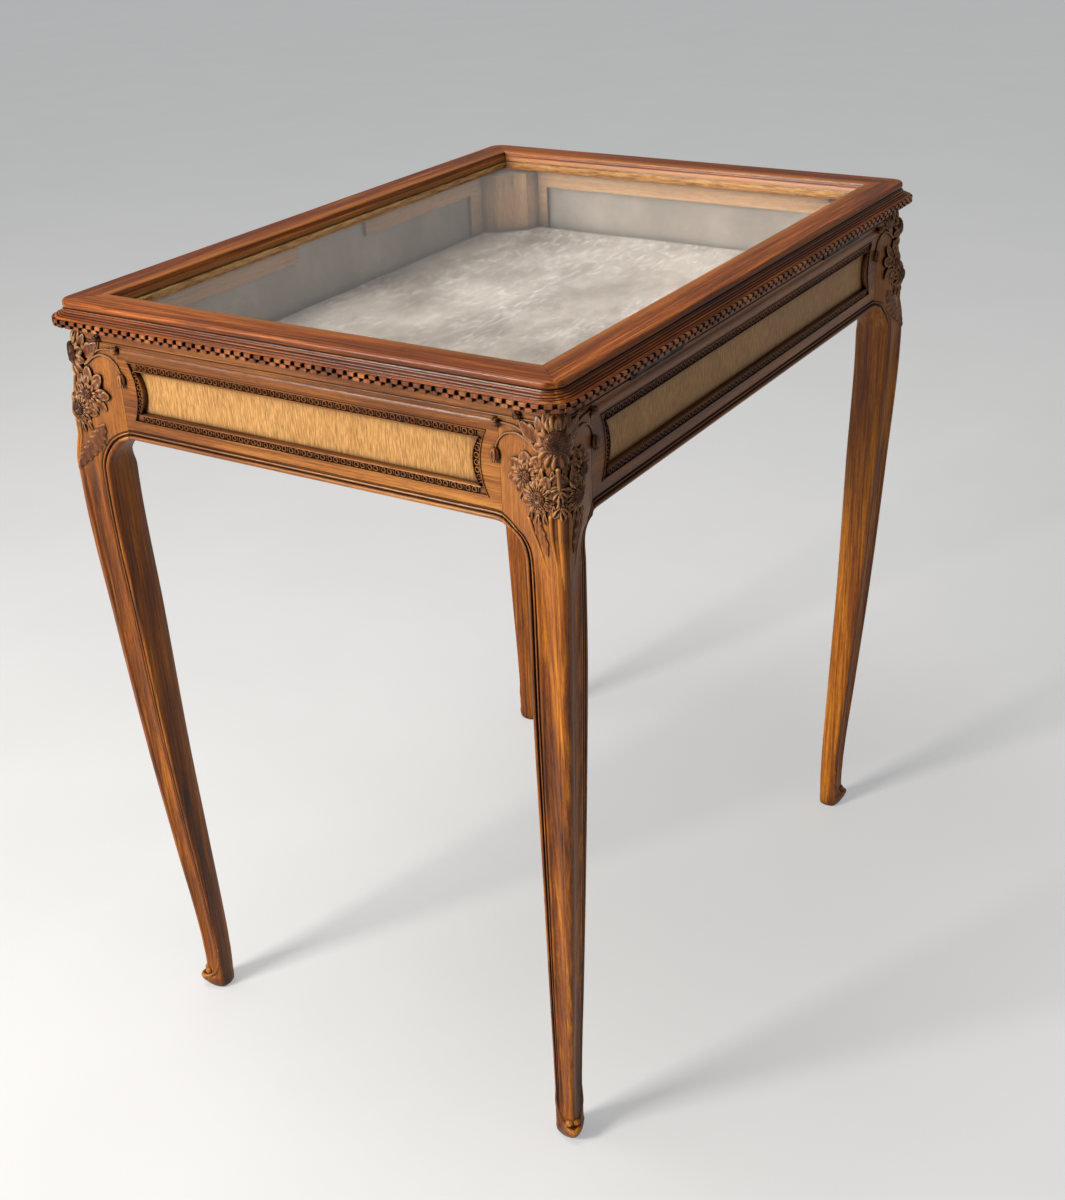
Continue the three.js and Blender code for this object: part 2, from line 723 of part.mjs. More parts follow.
// One row of dentils: a toothed outline in plan, its back let into the rail
function dentilRow(halfAlong, halfOut, row) {
  const at = (run, inset) => outlinePoint(halfAlong, halfOut, lidCornerRadius, run, inset);
  const runs = stations(halfAlong, lidCornerRadius).reverse();
  const length = runs[0];
  const count = Math.round(length / dentilPitch);
  const pitch = length / count;
  const half = (dentilWidthShare * pitch) / 2;
  const outline = [at(0, dentilDepth)];
  for (let i = 0; i < count; i++) {
    const centre = (i + (3 - 2 * row) / 4) * pitch;
    const [from, to] = [centre - half, centre + half];
    outline.push(at(from, dentilDepth), at(from, 0), at(to, 0), at(to, dentilDepth));
  }
  outline.push(at(length, dentilDepth));
  outline.push(...runs.map((run) => at(run, dentilDepth + 2 * dentilBite)));
  const bottom = lidBottom + dentilRise + row * dentilRowHeight;
  return solid(column(outline, bottom, bottom + dentilRowHeight));
}

function lidRail(name, halfAlong, halfOut) {
  const rebate = openEdge - seatGap;
  const dentilBottom = lidBottom + dentilRise;
  const dentilTop = dentilBottom + 2 * dentilRowHeight;
  const dentilBack = dentilDepth + dentilBite;
  const section = [
    ...lidEdgeShares.map(([inset, down]) => [
      inset * lidFlatInset, tableHeight - down * lidThickness,
    ]),
    [dentilBack, dentilTop], [dentilBack, dentilBottom],
    [lidFootInset, dentilBottom], [lidFootInset, lidBottom], [rebate, lidBottom],
    [rebate, glassTop + seatGap], [lipEdge, glassTop + seatGap],
    ...lipShares.map(([inset, down]) => [openEdge + inset * glassLip, tableHeight - down * glassDrop]),
  ];
  const rows = [0, 1].map((row) => dentilRow(halfAlong, halfOut, row));
  const rail = joined(member(section, halfAlong, halfOut, lidCornerRadius), ...rows);
  const cuts = kerfs(halfAlong, halfOut);
  if (name === "front") cuts.push(strikePocket(), boltMortise());
  return geometryOf(cutBy(rail, ...cuts));
}

// Glazing bead section: shares of beadWidth in and of the bead's height up
const beadShares = [[0, 0], [0.4, 0.03], [0.75, 0.3], [0.94, 0.7], [1, 1], [0, 1]];

function glazingBead(halfAlong, halfOut) {
  const bottom = lidBottom + seatGap;
  const height = glassBottom - seatGap - bottom;
  const section = beadShares.map(([inset, up]) => [
    openEdge + inset * beadWidth, bottom + up * height,
  ]);
  const bead = member(section, halfAlong, halfOut, lidCornerRadius);
  return geometryOf(cutBy(bead, ...kerfs(halfAlong, halfOut)));
}

sides.forEach(({ name, turn, long }) => {
  const [halfAlong, halfOut] = long
    ? [lidLength / 2, lidWidth / 2]
    : [lidWidth / 2, lidLength / 2];
  place("lid_rail_" + name, lidRail(name, halfAlong, halfOut), darkWalnut, turn);
  place("glazing_bead_" + name, glazingBead(halfAlong, halfOut), gilt, turn);
});
const [paneX, paneY] = [lidLength / 2 - openEdge, lidWidth / 2 - openEdge];
place("glass_pane", block(-paneX, paneX, -paneY, paneY, glassBottom, glassTop), glass);

// Lock: drawn on the side that faces +Y and turned to the front
function lockPocket() {
  const side = lockLength / 2 + seatGap;
  const bottom = lockTop - lockHeight - seatGap;
  const top = caseTop + overrun;
  return solid(block(-side, side, lockBack - overrun, lockBack + lockDepth + seatGap, bottom, top));
}

function boltSpace(bottom, top) {
  const side = boltLength / 2 + boltClearance;
  const deep = boltThickness / 2 + boltClearance;
  return solid(block(-side, side, boltY - deep, boltY + deep, bottom, top));
}

function boltMortise() {
  return boltSpace(lidBottom - overrun, lidBottom + boltThrow + boltClearance);
}

function strikePocket() {
  const [side, deep] = [strikeLength / 2 + seatGap, strikeWidth / 2 + seatGap];
  const top = lidBottom + strikeThickness + seatGap;
  return solid(block(-side, side, boltY - deep, boltY + deep, lidBottom - overrun, top));
}

function keyCutter() {
  const front = caseWidth / 2 + fasciaRise + seatGap + escutcheonThickness + overrun;
  const length = front - boltY;
  const stem = new THREE.CylinderGeometry(keyholeRadius, keyholeRadius, length, 12);
  stem.translate(0, boltY + length / 2, keyholeHeight);
  const half = keyholeSlotWidth / 2;
  const bottom = keyholeHeight - keyholeSlotLength;
  return joined(solid(stem), solid(block(-half, half, boltY, front, bottom, keyholeHeight)));
}

const frontTurn = 2 * quarter;
const lockBody = solid(
  block(-lockLength / 2, lockLength / 2, lockBack, lockBack + lockDepth, lockTop - lockHeight, lockTop),
);
const keyRoom = keyholeSlotLength + boltClearance;
const keyDepth = boltThickness / 2 + boltClearance;
const keyChamber = solid(
  block(-keyRoom, keyRoom, boltY - keyDepth, boltY + keyDepth, keyholeHeight - keyRoom, boltBottom),
);
const boltChannel = boltSpace(boltBottom - boltClearance, lockTop + overrun);
const lockCase = cutBy(lockBody, boltChannel, keyChamber, keyCutter());
place("lock_case", geometryOf(lockCase), brass, frontTurn);

const [boltSide, boltDeep] = [boltLength / 2, boltThickness / 2];
const bolt = block(-boltSide, boltSide, boltY - boltDeep, boltY + boltDeep, boltBottom, boltTop);
place("lock_bolt", bolt, brass, frontTurn);

const [strikeSide, strikeDeep] = [strikeLength / 2, strikeWidth / 2];
const strike = solid(
  block(
    -strikeSide, strikeSide, boltY - strikeDeep, boltY + strikeDeep,
    lidBottom, lidBottom + strikeThickness,
  ),
);
place("strike_plate", geometryOf(cutBy(strike, boltMortise())), brass, frontTurn);

const escutcheon = new THREE.CylinderGeometry(
  escutcheonRadius, escutcheonRadius, escutcheonThickness, 20,
);
const escutcheonY = caseWidth / 2 + fasciaRise + seatGap + escutcheonThickness / 2;
escutcheon.translate(0, escutcheonY, keyholeHeight);
place("escutcheon", geometryOf(cutBy(solid(escutcheon), keyCutter())), brass, frontTurn);

// Butt hinges: a leaf on the back top rail, a leaf under the lid, and a pin through their knuckles
const knuckle = (hingeLength - (hingeKnuckles - 1) * hingeKnuckleGap) / hingeKnuckles;
const leafTop = hingeAxisHeight - hingeBarrelRadius + 2 * seatGap;
const lowerLeafY = caseWidth / 2 + topRailProud + seatGap;
const upperLeafBottom = lidBottom - seatGap - hingeLeafThickness;

function rod(radius, length, x) {
  const round = new THREE.CylinderGeometry(radius, radius, length, 12);
  return solid(round.rotateZ(quarter).translate(x, hingeAxisY, hingeAxisHeight));
}

function hingeLeaf(plate, web, first) {
  const pieces = [solid(plate)];
  for (let i = first; i < hingeKnuckles; i += 2) {
    const from = -hingeLength / 2 + i * (knuckle + hingeKnuckleGap);
    pieces.push(solid(block(from, from + knuckle, ...web)));
    pieces.push(rod(hingeBarrelRadius, knuckle, from + knuckle / 2));
  }
  const bore = rod(hingePinRadius + hingeBoreClearance, hingeLength + overrun, 0);
  return geometryOf(cutBy(joined(...pieces), bore));
}

function hingePin() {
  const length = hingeLength + 2 * (seatGap + hingePinHeadLength);
  const profile = [
    [0, 0], [hingePinHead, 0], [hingePinHead, hingePinHeadLength],
    [hingePinRadius, hingePinHeadLength], [hingePinRadius, length - hingePinHeadLength],
    [hingePinHead, length - hingePinHeadLength], [hingePinHead, length], [0, length],
  ];
  const pin = new THREE.LatheGeometry(profile.map(([r, y]) => new THREE.Vector2(r, y)), 10);
  pin.translate(0, -length / 2, 0).rotateZ(quarter);
  return pin.translate(0, hingeAxisY, hingeAxisHeight);
}

[["left", -1], ["right", 1]].forEach(([name, sign]) => {
  const lowerPlate = block(
    -hingeLength / 2, hingeLength / 2, lowerLeafY, lowerLeafY + hingeLeafThickness,
    leafTop - hingeLeafHeight, leafTop,
  );
  const lowerWeb = [
    lowerLeafY, lowerLeafY + hingeLeafThickness, leafTop - hingeLeafThickness, hingeAxisHeight,
  ];
  const upperPlate = block(
    -hingeLength / 2, hingeLength / 2, hingeAxisY - hingeLeafThickness,
    hingeAxisY + hingeLeafReach, upperLeafBottom, upperLeafBottom + hingeLeafThickness,
  );
  const upperWeb = [
    hingeAxisY, hingeAxisY + hingeBarrelRadius, hingeAxisHeight,
    upperLeafBottom + hingeLeafThickness / 2,
  ];
  const move = (geometry) => geometry.translate((sign * hingeSpread) / 2, 0, 0);
  place("hinge_leaf_lower_" + name, move(hingeLeaf(lowerPlate, lowerWeb, 0)), darkIron);
  place("hinge_leaf_upper_" + name, move(hingeLeaf(upperPlate, upperWeb, 1)), darkIron);
  place("hinge_pin_" + name, move(hingePin()), darkIron);
});

export default root;
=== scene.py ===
import math
import random
from itertools import groupby

import bpy
import numpy as np
from mathutils import Matrix, Vector, noise
from mathutils.geometry import tessellate_polygon


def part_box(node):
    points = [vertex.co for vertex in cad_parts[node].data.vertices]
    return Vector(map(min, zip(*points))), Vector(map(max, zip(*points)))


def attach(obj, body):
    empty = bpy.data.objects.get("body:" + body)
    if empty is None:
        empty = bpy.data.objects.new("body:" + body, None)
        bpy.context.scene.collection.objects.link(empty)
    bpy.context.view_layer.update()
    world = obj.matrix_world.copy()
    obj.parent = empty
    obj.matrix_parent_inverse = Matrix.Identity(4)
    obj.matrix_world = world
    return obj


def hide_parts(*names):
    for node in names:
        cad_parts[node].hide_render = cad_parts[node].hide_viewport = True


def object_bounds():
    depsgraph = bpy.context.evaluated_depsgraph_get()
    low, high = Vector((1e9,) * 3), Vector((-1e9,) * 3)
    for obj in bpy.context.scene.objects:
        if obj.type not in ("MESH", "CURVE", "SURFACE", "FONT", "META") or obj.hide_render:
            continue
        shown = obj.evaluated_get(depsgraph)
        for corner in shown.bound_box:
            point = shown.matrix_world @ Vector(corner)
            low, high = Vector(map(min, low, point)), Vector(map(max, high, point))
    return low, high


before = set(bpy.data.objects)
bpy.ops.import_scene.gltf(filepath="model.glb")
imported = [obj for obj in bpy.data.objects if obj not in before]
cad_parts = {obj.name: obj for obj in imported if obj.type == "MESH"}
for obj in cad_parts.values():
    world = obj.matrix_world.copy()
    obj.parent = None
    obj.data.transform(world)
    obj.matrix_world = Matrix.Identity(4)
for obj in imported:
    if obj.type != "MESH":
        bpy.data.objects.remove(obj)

MM = 0.001
CAD_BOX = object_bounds()
SEED = 7

# Case, lid and walls, as the frame has them
CASE_LENGTH, CASE_WIDTH = 685.0, 493.0
TABLE_TOP = CAD_BOX[1][2] / MM
LID_LENGTH = (CAD_BOX[1][0] - CAD_BOX[0][0]) / MM
LID_WIDTH = (CAD_BOX[1][1] - CAD_BOX[0][1]) / MM
LID_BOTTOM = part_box("lid_rail_front")[0].z / MM
CASE_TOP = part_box("top_rail_front")[1].z / MM
RAIL_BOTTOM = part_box("top_rail_front")[0].z / MM
APRON_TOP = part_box("apron_left")[1].z / MM
APRON_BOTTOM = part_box("apron_left")[0].z / MM
SEAT_GAP = 0.3
LEG_STOCK = 50.0
APRON_THICKNESS = 12.0

SIDES = {
    "back": (0.0, CASE_LENGTH / 2, CASE_WIDTH / 2),
    "right": (-math.pi / 2, CASE_WIDTH / 2, CASE_LENGTH / 2),
    "front": (math.pi, CASE_LENGTH / 2, CASE_WIDTH / 2),
    "left": (math.pi / 2, CASE_WIDTH / 2, CASE_LENGTH / 2),
}
CORNERS = {"back_right": (1, 1), "back_left": (-1, 1), "front_left": (-1, -1), "front_right": (1, -1)}


# Numbers and curves

def smooth_curve(*points):
    """A curve through (x, y) points that never overshoots them, for a number or an array."""
    xs, ys = np.array(points, float).T
    step, rise = np.diff(xs), np.diff(ys)
    slope = rise / step
    tangent = np.zeros(len(xs))
    tangent[0], tangent[-1] = slope[0], slope[-1]
    for i in range(1, len(xs) - 1):
        if slope[i - 1] * slope[i] > 0:
            before, after = 2 * step[i] + step[i - 1], step[i] + 2 * step[i - 1]
            tangent[i] = (before + after) / (before / slope[i - 1] + after / slope[i])

    def at(x):
        x = np.clip(x, xs[0], xs[-1])
        i = np.clip(np.searchsorted(xs, x, side="right") - 1, 0, len(step) - 1)
        t = (x - xs[i]) / step[i]
        return (
            (2 * t**3 - 3 * t**2 + 1) * ys[i] + (t**3 - 2 * t**2 + t) * step[i] * tangent[i]
            + (3 * t**2 - 2 * t**3) * ys[i + 1] + (t**3 - t**2) * step[i] * tangent[i + 1]
        )

    return at


def arc(centre, radius, start, end, steps):
    """Points on a flat arc, angles in degrees."""
    angles = np.radians(np.linspace(start, end, steps + 1))
    return [(centre[0] + radius * math.cos(a), centre[1] + radius * math.sin(a)) for a in angles]


def turns(count):
    """Angles of even steps round a circle."""
    return np.linspace(0, 2 * math.pi, count, endpoint=False)


def unit(vector):
    return vector / np.linalg.norm(vector)


# Meshes

def new_mesh(name, points, faces):
    """A mesh in metres from points in millimetres."""
    mesh = bpy.data.meshes.new(name)
    mesh.from_pydata((np.asarray(points, float) * MM).tolist(), [], faces)
    return mesh


def put(name, data):
    """A new object in the scene."""
    thing = bpy.data.objects.new(name, data)
    bpy.context.scene.collection.objects.link(thing)
    return thing


class Stock:
    """Closed pieces of one object, gathered in millimetres."""

    def __init__(self):
        self.points, self.faces, self.count = [], [], 0

    def add(self, points, faces):
        """One closed piece, turned so that its faces point out."""
        points = np.asarray(points, float)
        fans = np.array([(f[0], f[j], f[j + 1]) for f in faces for j in range(1, len(f) - 1)])
        a, b, c = (points[fans[:, k]] for k in range(3))
        if np.einsum("ij,ij->i", a, np.cross(b, c)).sum() < 0:
            faces = [face[::-1] for face in faces]
        self.points.append(points)
        self.faces += [[i + self.count for i in face] for face in faces]
        self.count += len(points)
        return self

    def turned(self, angle):
        """All points turned about the vertical axis."""
        c, s = math.cos(angle), math.sin(angle)
        turn = np.array([[c, s, 0], [-s, c, 0], [0, 0, 1]])
        self.points = [p @ turn for p in self.points]
        return self

    def in_corner(self, signs):
        """What is made in (p, q, z), insets from the case's faces, set in one corner of the case."""
        half = np.array([CASE_LENGTH / 2, CASE_WIDTH / 2, 0])
        self.points = [(half - p * (1, 1, -1)) * (*signs, 1) for p in self.points]
        if signs[0] * signs[1] < 0:
            self.faces = [face[::-1] for face in self.faces]
        return self

    def make(self, name, material, replaced=(), body="case", slot="walnut", sharp=38.0):
        mesh = new_mesh(name, np.concatenate(self.points), self.faces)
        mesh.shade_smooth()
        mesh.set_sharp_from_angle(angle=math.radians(sharp))
        mesh.materials.append(material)
        piece = put(name, mesh)
        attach(piece, body)
        if replaced:
            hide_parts(*replaced)
        return piece


def ring_faces(rows, columns, loop=False):
    """Quads between closed rings of points, and from the last ring to the first if they form a loop."""
    faces = []
    for r in range(rows if loop else rows - 1):
        low, high = r * columns, (r + 1) % rows * columns
        for c in range(columns):
            n = (c + 1) % columns
            faces.append([low + c, low + n, high + n, high + c])
    return faces


def loft(rings, loop=False):
    """Points and faces of closed rings, with flat caps, or as one loop of rings."""
    rings = np.asarray(rings, float)
    rows, columns = rings.shape[:2]
    faces = ring_faces(rows, columns, loop)
    if not loop:
        faces += [list(range(columns))[::-1], list(range((rows - 1) * columns, rows * columns))]
    return rings.reshape(-1, 3), faces


def pinched(rings, first, last):
    """A loft whose two ends come to a point each."""
    rings = np.asarray(rings, float)
    rows, columns = rings.shape[:2]
    faces = ring_faces(rows, columns)
    tip, end = rows * columns, (rows - 1) * columns
    for c in range(columns):
        n = (c + 1) % columns
        faces += [[tip, n, c], [tip + 1, end + c, end + n]]
    return np.concatenate([rings.reshape(-1, 3), [first, last]]), faces


def clean(points, faces, apart=1e-4):
    """Points that lie together become one, and faces that shrink to a line go."""
    keys, kept = {}, []
    order = [keys.setdefault(tuple(p), len(keys)) for p in np.round(points / apart).astype(int).tolist()]
    for face in faces:
        ring = [i for i, _ in groupby(order[i] for i in face)]
        if len(ring) > 1 and ring[0] == ring[-1]:
            ring.pop()
        if len(ring) > 2:
            kept.append(ring)
    return points[np.unique(order, return_index=True)[1]], kept


def plate(outline, hole, front, back):
    """A flat plate in (along, up) between two depths, with a hole."""
    loops = [outline, hole]
    triangles = tessellate_polygon([[Vector((x, z, 0)) for x, z in loop] for loop in loops])
    places = outline + hole
    count = len(places)
    points = np.array([(x, y, z) for y in (front, back) for x, z in places])
    faces = [list(t) for t in triangles] + [[i + count for i in t[::-1]] for t in triangles]
    a, b, c = points[list(triangles[0])]
    if np.cross(b - a, c - a)[1] <= 0:
        faces = [f[::-1] for f in faces]
    start = 0
    for loop in loops:
        area = sum(loop[i - 1][0] * loop[i][1] - loop[i][0] * loop[i - 1][1] for i in range(len(loop)))
        forward = (area > 0) == (loop is outline)
        for i in range(len(loop)):
            p, q = start + i, start + (i + 1) % len(loop)
            side = [p, q, q + count, p + count]
            faces.append(side if forward else side[::-1])
        start += len(loop)
    return points, faces


def pocket(piece, low, high):
    """A box-shaped pocket cut in a piece, between two corners in millimetres."""
    plan = ((low[0], low[1]), (high[0], low[1]), (high[0], high[1]), (low[0], high[1]))
    stock = Stock().add(*loft([[(x, y, z) for x, y in plan] for z in (low[2], high[2])]))
    cutter = put("cutter", new_mesh("cutter", stock.points[0], stock.faces))
    cut = piece.modifiers.new("pocket", "BOOLEAN")
    cut.operation, cut.solver, cut.object = "DIFFERENCE", "EXACT", cutter
    shape = bpy.data.meshes.new_from_object(piece.evaluated_get(bpy.context.evaluated_depsgraph_get()))
    piece.modifiers.remove(cut)
    piece.data = shape
    bpy.data.objects.remove(cutter)


# Materials

class Nodes:
    """Short calls for one material's node tree."""

    def __init__(self, name):
        self.material = bpy.data.materials.new(name)
        self.material.use_nodes = True
        self.tree = self.material.node_tree
        self.shader = self.tree.nodes["Principled BSDF"]

    def feed(self, socket, value):
        """A link from another node, or a constant."""
        if isinstance(value, bpy.types.NodeSocket):
            self.tree.links.new(value, socket)
        else:
            socket.default_value = value

    def node(self, kind, inputs=None, **settings):
        node = self.tree.nodes.new("ShaderNode" + kind)
        for key, value in settings.items():
            setattr(node, key, value)
        for key, value in (inputs or {}).items():
            self.feed(node.inputs[key], value)
        return node

    def shade(self, **values):
        """The shader's own sockets, with _ for a space."""
        for key, value in values.items():
            self.feed(self.shader.inputs[key.replace("_", " ")], value)
        return self.material

    def surface(self, shader):
        self.feed(self.tree.nodes["Material Output"].inputs["Surface"], shader.outputs[0])
        return self.material

    def place(self, scale, turn=(0, 0, 0)):
        """The piece's own coordinates in metres, scaled by axis."""
        spot = self.node("TexCoord").outputs["Object"]
        return self.node("Mapping", {"Vector": spot, "Rotation": turn, "Scale": scale}).outputs["Vector"]

    def noise(self, scale, detail=4.0, rough=0.55, distortion=0.0, turn=(0, 0, 0)):
        """Cloudy noise, with a scale for each axis."""
        return self.node("TexNoise", {
            "Vector": self.place(scale, turn), "Scale": 1.0, "Detail": detail, "Roughness": rough,
            "Distortion": distortion,
        }).outputs["Fac"]

    def ramp(self, value, *stops):
        """Colours, 0 to 255, or greys, 0 to 1, along a value from 0 to 1."""
        ramp = self.node("ValToRGB", {"Fac": value})
        elements = ramp.color_ramp.elements
        while len(elements) < len(stops):
            elements.new(0.5)
        for element, (where, colour) in zip(elements, stops):
            element.position = where
            element.color = (*(srgb(colour) if isinstance(colour, tuple) else (colour,) * 3), 1)
        return ramp.outputs["Color"]

    def blend(self, kind, factor, first, second):
        mix = self.node("Mix", {"Factor": factor}, data_type="RGBA", blend_type=kind)
        for socket, value in ((mix.inputs[6], first), (mix.inputs[7], second)):
            self.feed(socket, (*srgb(value), 1) if isinstance(value, tuple) else value)
        return mix.outputs[2]

    def maths(self, kind, first, second):
        return self.node("Math", {0: first, 1: second}, operation=kind).outputs[0]

    def bump(self, height, strength, distance):
        bump = self.node("Bump", {"Strength": strength, "Distance": distance, "Height": height})
        return self.shade(Normal=bump.outputs["Normal"])

    def hollows(self, reach):
        """How open a place is, bright in the open and dark in corners within a reach in metres: the mask for painted
        shade.
        """
        return self.node("AmbientOcclusion", {"Distance": reach}, samples=8).outputs["AO"]


def srgb(values):
    """A colour given 0 to 255, as the linear colour that nodes take."""
    return tuple(v / 12.92 if v <= 0.04045 else ((v + 0.055) / 1.055) ** 2.4 for v in (c / 255 for c in values))


# Frequencies along and across the grain, per metre
FIBRE, BAND, PORE = (9.0, 420.0), (2.2, 30.0), (90.0, 2300.0)
# Reach in metres of the broad painted shade that darkens wide hollows such as the leg's flutes
BROAD_SHADE_REACH = 0.03
KNEE_BOTTOM, KNEE_TOP, KNEE_RUBBED = 0.58, 0.66, 0.5
AXES = "xyz"


def wood(name, axis, dark, middle, light, reach=0.006, figure=0.5, rough=0.36, wear=None, fibre=FIBRE,
         spread=(0.33, 0.66), rubbed=None, grime=(22, 9, 4)):
    """Polished wood with its fibres along one axis, painted shade darkening its hollows, and its sharp edges lightened
    by wear and painted highlight when that colour is given.
    """
    n = Nodes(name)

    def grain(far, near, **more):
        return n.noise(tuple(far if a == axis else near for a in AXES), **more)

    strands = grain(*fibre, detail=5.0, rough=0.62)
    band = grain(*BAND, detail=3.0, distortion=0.6)
    pore = grain(*PORE, detail=2.0, rough=0.5)
    value = n.maths("ADD", n.maths("MULTIPLY", strands, 1 - figure), n.maths("MULTIPLY", band, figure))
    colour = n.ramp(value, (spread[0], dark), (0.5, middle), (spread[1], light))
    if rubbed:
        height = n.node("SeparateXYZ", {0: n.place((1, 1, 1))}).outputs["Z"]
        colour = n.blend("MIX", n.ramp(height, (KNEE_BOTTOM, 0.0), (KNEE_TOP, KNEE_RUBBED)), colour, rubbed)
    pores = n.ramp(pore, (0.36, 0.45), (0.47, 1.0))
    colour = n.blend("MULTIPLY", 0.8, colour, pores)
    # Painted shade: hollows within the reach turn towards the painted shade colour, and a broader painted shade darkens
    # wider hollows such as the flutes
    colour = n.blend("MIX", n.ramp(n.hollows(reach), (0.38, 0.0), (0.9, 1.0)), grime, colour)
    colour = n.blend("MULTIPLY", 1.0, colour, n.ramp(n.hollows(BROAD_SHADE_REACH), (0.45, 0.42), (0.95, 1.0)))
    # Edge wear and painted highlight: sharp convex edges are lightened towards this colour
    if wear:
        edge = n.ramp(n.node("NewGeometry").outputs["Pointiness"], (0.53, 0.0), (0.62, 1.0))
        colour = n.blend("MIX", n.maths("MULTIPLY", edge, 0.6), colour, wear)
    n.bump(n.maths("ADD", n.maths("MULTIPLY", strands, 0.5), pores), 0.35, 0.00025)
    return n.shade(
        Base_Color=colour, Roughness=n.ramp(strands, (0.3, rough - 0.06), (0.7, rough + 0.1)),
        Coat_Weight=0.06, Coat_Roughness=0.2, Specular_IOR_Level=0.24,
    )


def family(name, *colours, **more):
    """The same wood with its fibres along x, y or z."""
    return {a: wood(f"{name}_{a}", a, *colours, **more) for a in AXES}


WALNUT = family("walnut", (68, 30, 7), (134, 76, 24), (184, 122, 54), reach=0.005)
LEG_WALNUT = wood(
    "leg_walnut", "z", (62, 27, 3), (134, 70, 8), (200, 124, 26), reach=0.006,
    wear=(224, 146, 60), spread=(0.36, 0.64), rubbed=(162, 104, 52),
)
LID_WALNUT = family(
    "lid_walnut", (58, 23, 4), (120, 55, 10), (182, 102, 32), reach=0.004, figure=0.35,
    rough=0.36, wear=(216, 146, 74), spread=(0.35, 0.65),
)
DENTIL = wood(
    "dentil_walnut", "z", (58, 26, 10), (124, 68, 34), (180, 116, 68), reach=0.004,
    figure=0.7, fibre=(60.0, 420.0),
)
CARVED = wood(
    "carved_walnut", "z", (48, 20, 6), (108, 56, 22), (164, 100, 48), reach=0.007,
    wear=(218, 164, 108),
)
HEARTWOOD = wood(
    "seed_walnut", "z", (50, 22, 9), (108, 62, 34), (180, 124, 80), reach=0.003,
    fibre=(300.0, 420.0),
)
VENEER = wood(
    "veneer", "z", (146, 100, 50), (180, 132, 74), (204, 157, 96), reach=0.008, figure=0.15, rough=0.42,
    fibre=(110.0, 800.0), grime=(36, 18, 8),
)
PLAIN = family(
    "plain_wood", (162, 120, 80), (196, 154, 110), (216, 178, 134), reach=0.01, figure=0.6,
    rough=0.55, grime=(96, 70, 48),
)


def velvet():
    """Worn silver-brown velvet: soft blotches, pale rubbed streaks and a short nap."""
    n = Nodes("velvet")
    blotch = n.noise((8, 10, 10), detail=9.0, rough=0.66)
    patch = n.ramp(n.noise((5, 6, 6), detail=5.0, rough=0.6), (0.42, 0.15), (0.56, 1.0))
    wisps = [
        n.noise((*across, 60), detail=9.0, rough=0.74, turn=(0, 0, turn))
        for across, turn in (((24, 120), 0.7), ((36, 170), -0.5), ((60, 60), 0))
    ]
    nap = n.noise((1500, 1500, 1500), detail=3.0)
    base = n.ramp(blotch, (0.38, (104, 91, 81)), (0.5, (138, 126, 115)), (0.62, (172, 162, 152)))
    brightest = n.maths("MAXIMUM", n.maths("MAXIMUM", wisps[0], wisps[1]), wisps[2])
    rubbed = n.maths("MULTIPLY", n.ramp(brightest, (0.54, 0.0), (0.64, 1.0)), patch)
    colour = n.blend("MIX", rubbed, base, (212, 208, 203))
    colour = n.blend("MULTIPLY", 0.5, colour, n.ramp(nap, (0.35, 0.78), (0.6, 1.0)))
    # Painted shade: the velvet's hollows and the corners by the walls are darkened
    colour = n.blend("MIX", n.ramp(n.hollows(0.012), (0.4, 0.0), (0.9, 1.0)), (92, 82, 74), colour)
    n.bump(n.maths("ADD", nap, blotch), 0.4, 0.0006)
    return n.shade(Base_Color=colour, Roughness=0.72, Sheen_Weight=0.5, Sheen_Roughness=0.4)


def silk():
    """Grey-beige ribbed lining cloth."""
    n = Nodes("silk")
    rib = n.noise((40, 40, 1500), detail=3.0, rough=0.6)
    stain = n.noise((14, 14, 9), detail=8.0, rough=0.66)
    base = n.ramp(stain, (0.34, (136, 128, 120)), (0.5, (150, 141, 132)), (0.66, (166, 158, 149)))
    colour = n.blend("MULTIPLY", 0.5, base, n.ramp(rib, (0.3, 0.72), (0.6, 1.0)))
    # Painted shade: the lining's hollows and corners are darkened
    colour = n.blend("MIX", n.ramp(n.hollows(0.012), (0.35, 0.0), (0.9, 1.0)), (96, 92, 88), colour)
    n.bump(rib, 0.35, 0.0004)
    return n.shade(Base_Color=colour, Roughness=0.78, Sheen_Weight=0.2, Sheen_Roughness=0.5)


def metal(name, colour, tarnish, rough):
    n = Nodes(name)
    patina = n.noise((60.0, 60.0, 60.0), detail=6.0, rough=0.65)
    n.bump(patina, 0.25, 0.0002)
    return n.shade(
        Base_Color=n.ramp(patina, (0.38, tarnish), (0.6, colour)),
        Roughness=n.ramp(patina, (0.35, rough + 0.2), (0.65, rough)), Metallic=1.0,
    )


def gilt():
    """Rubbed gold paint over wood."""
    n = Nodes("gilt")
    worn = n.noise((60, 60, 400), detail=6.0, rough=0.65)
    n.bump(worn, 0.3, 0.0002)
    colour = n.ramp(worn, (0.36, (120, 84, 44)), (0.5, (190, 150, 92)), (0.66, (220, 188, 128)))
    return n.shade(Base_Color=colour, Roughness=0.36, Metallic=0.35, Coat_Weight=0.2)


def glass():
    """Old window glass that lets the lamps through to the case."""
    n = Nodes("glass")
    n.bump(n.noise((9, 9, 9), detail=1.0), 0.12, 0.002)
    n.shade(Base_Color=(0.98, 0.98, 0.975, 1), Roughness=0.02, IOR=1.45, Transmission_Weight=1.0)
    clear = n.node("BsdfTransparent", {"Color": (0.97, 0.972, 0.965, 1)})
    shadow = n.node("LightPath").outputs["Is Shadow Ray"]
    return n.surface(n.node("MixShader", {0: shadow, 1: n.shader.outputs[0], 2: clear.outputs[0]}))


VELVET, SILK, GILT, GLASS = velvet(), silk(), gilt(), glass()
DARK_IRON = metal("dark_iron", (58, 50, 44), (28, 24, 21), 0.42)
BRASS = metal("brass", (176, 142, 80), (96, 72, 40), 0.32)


# Camera, floor and lamps

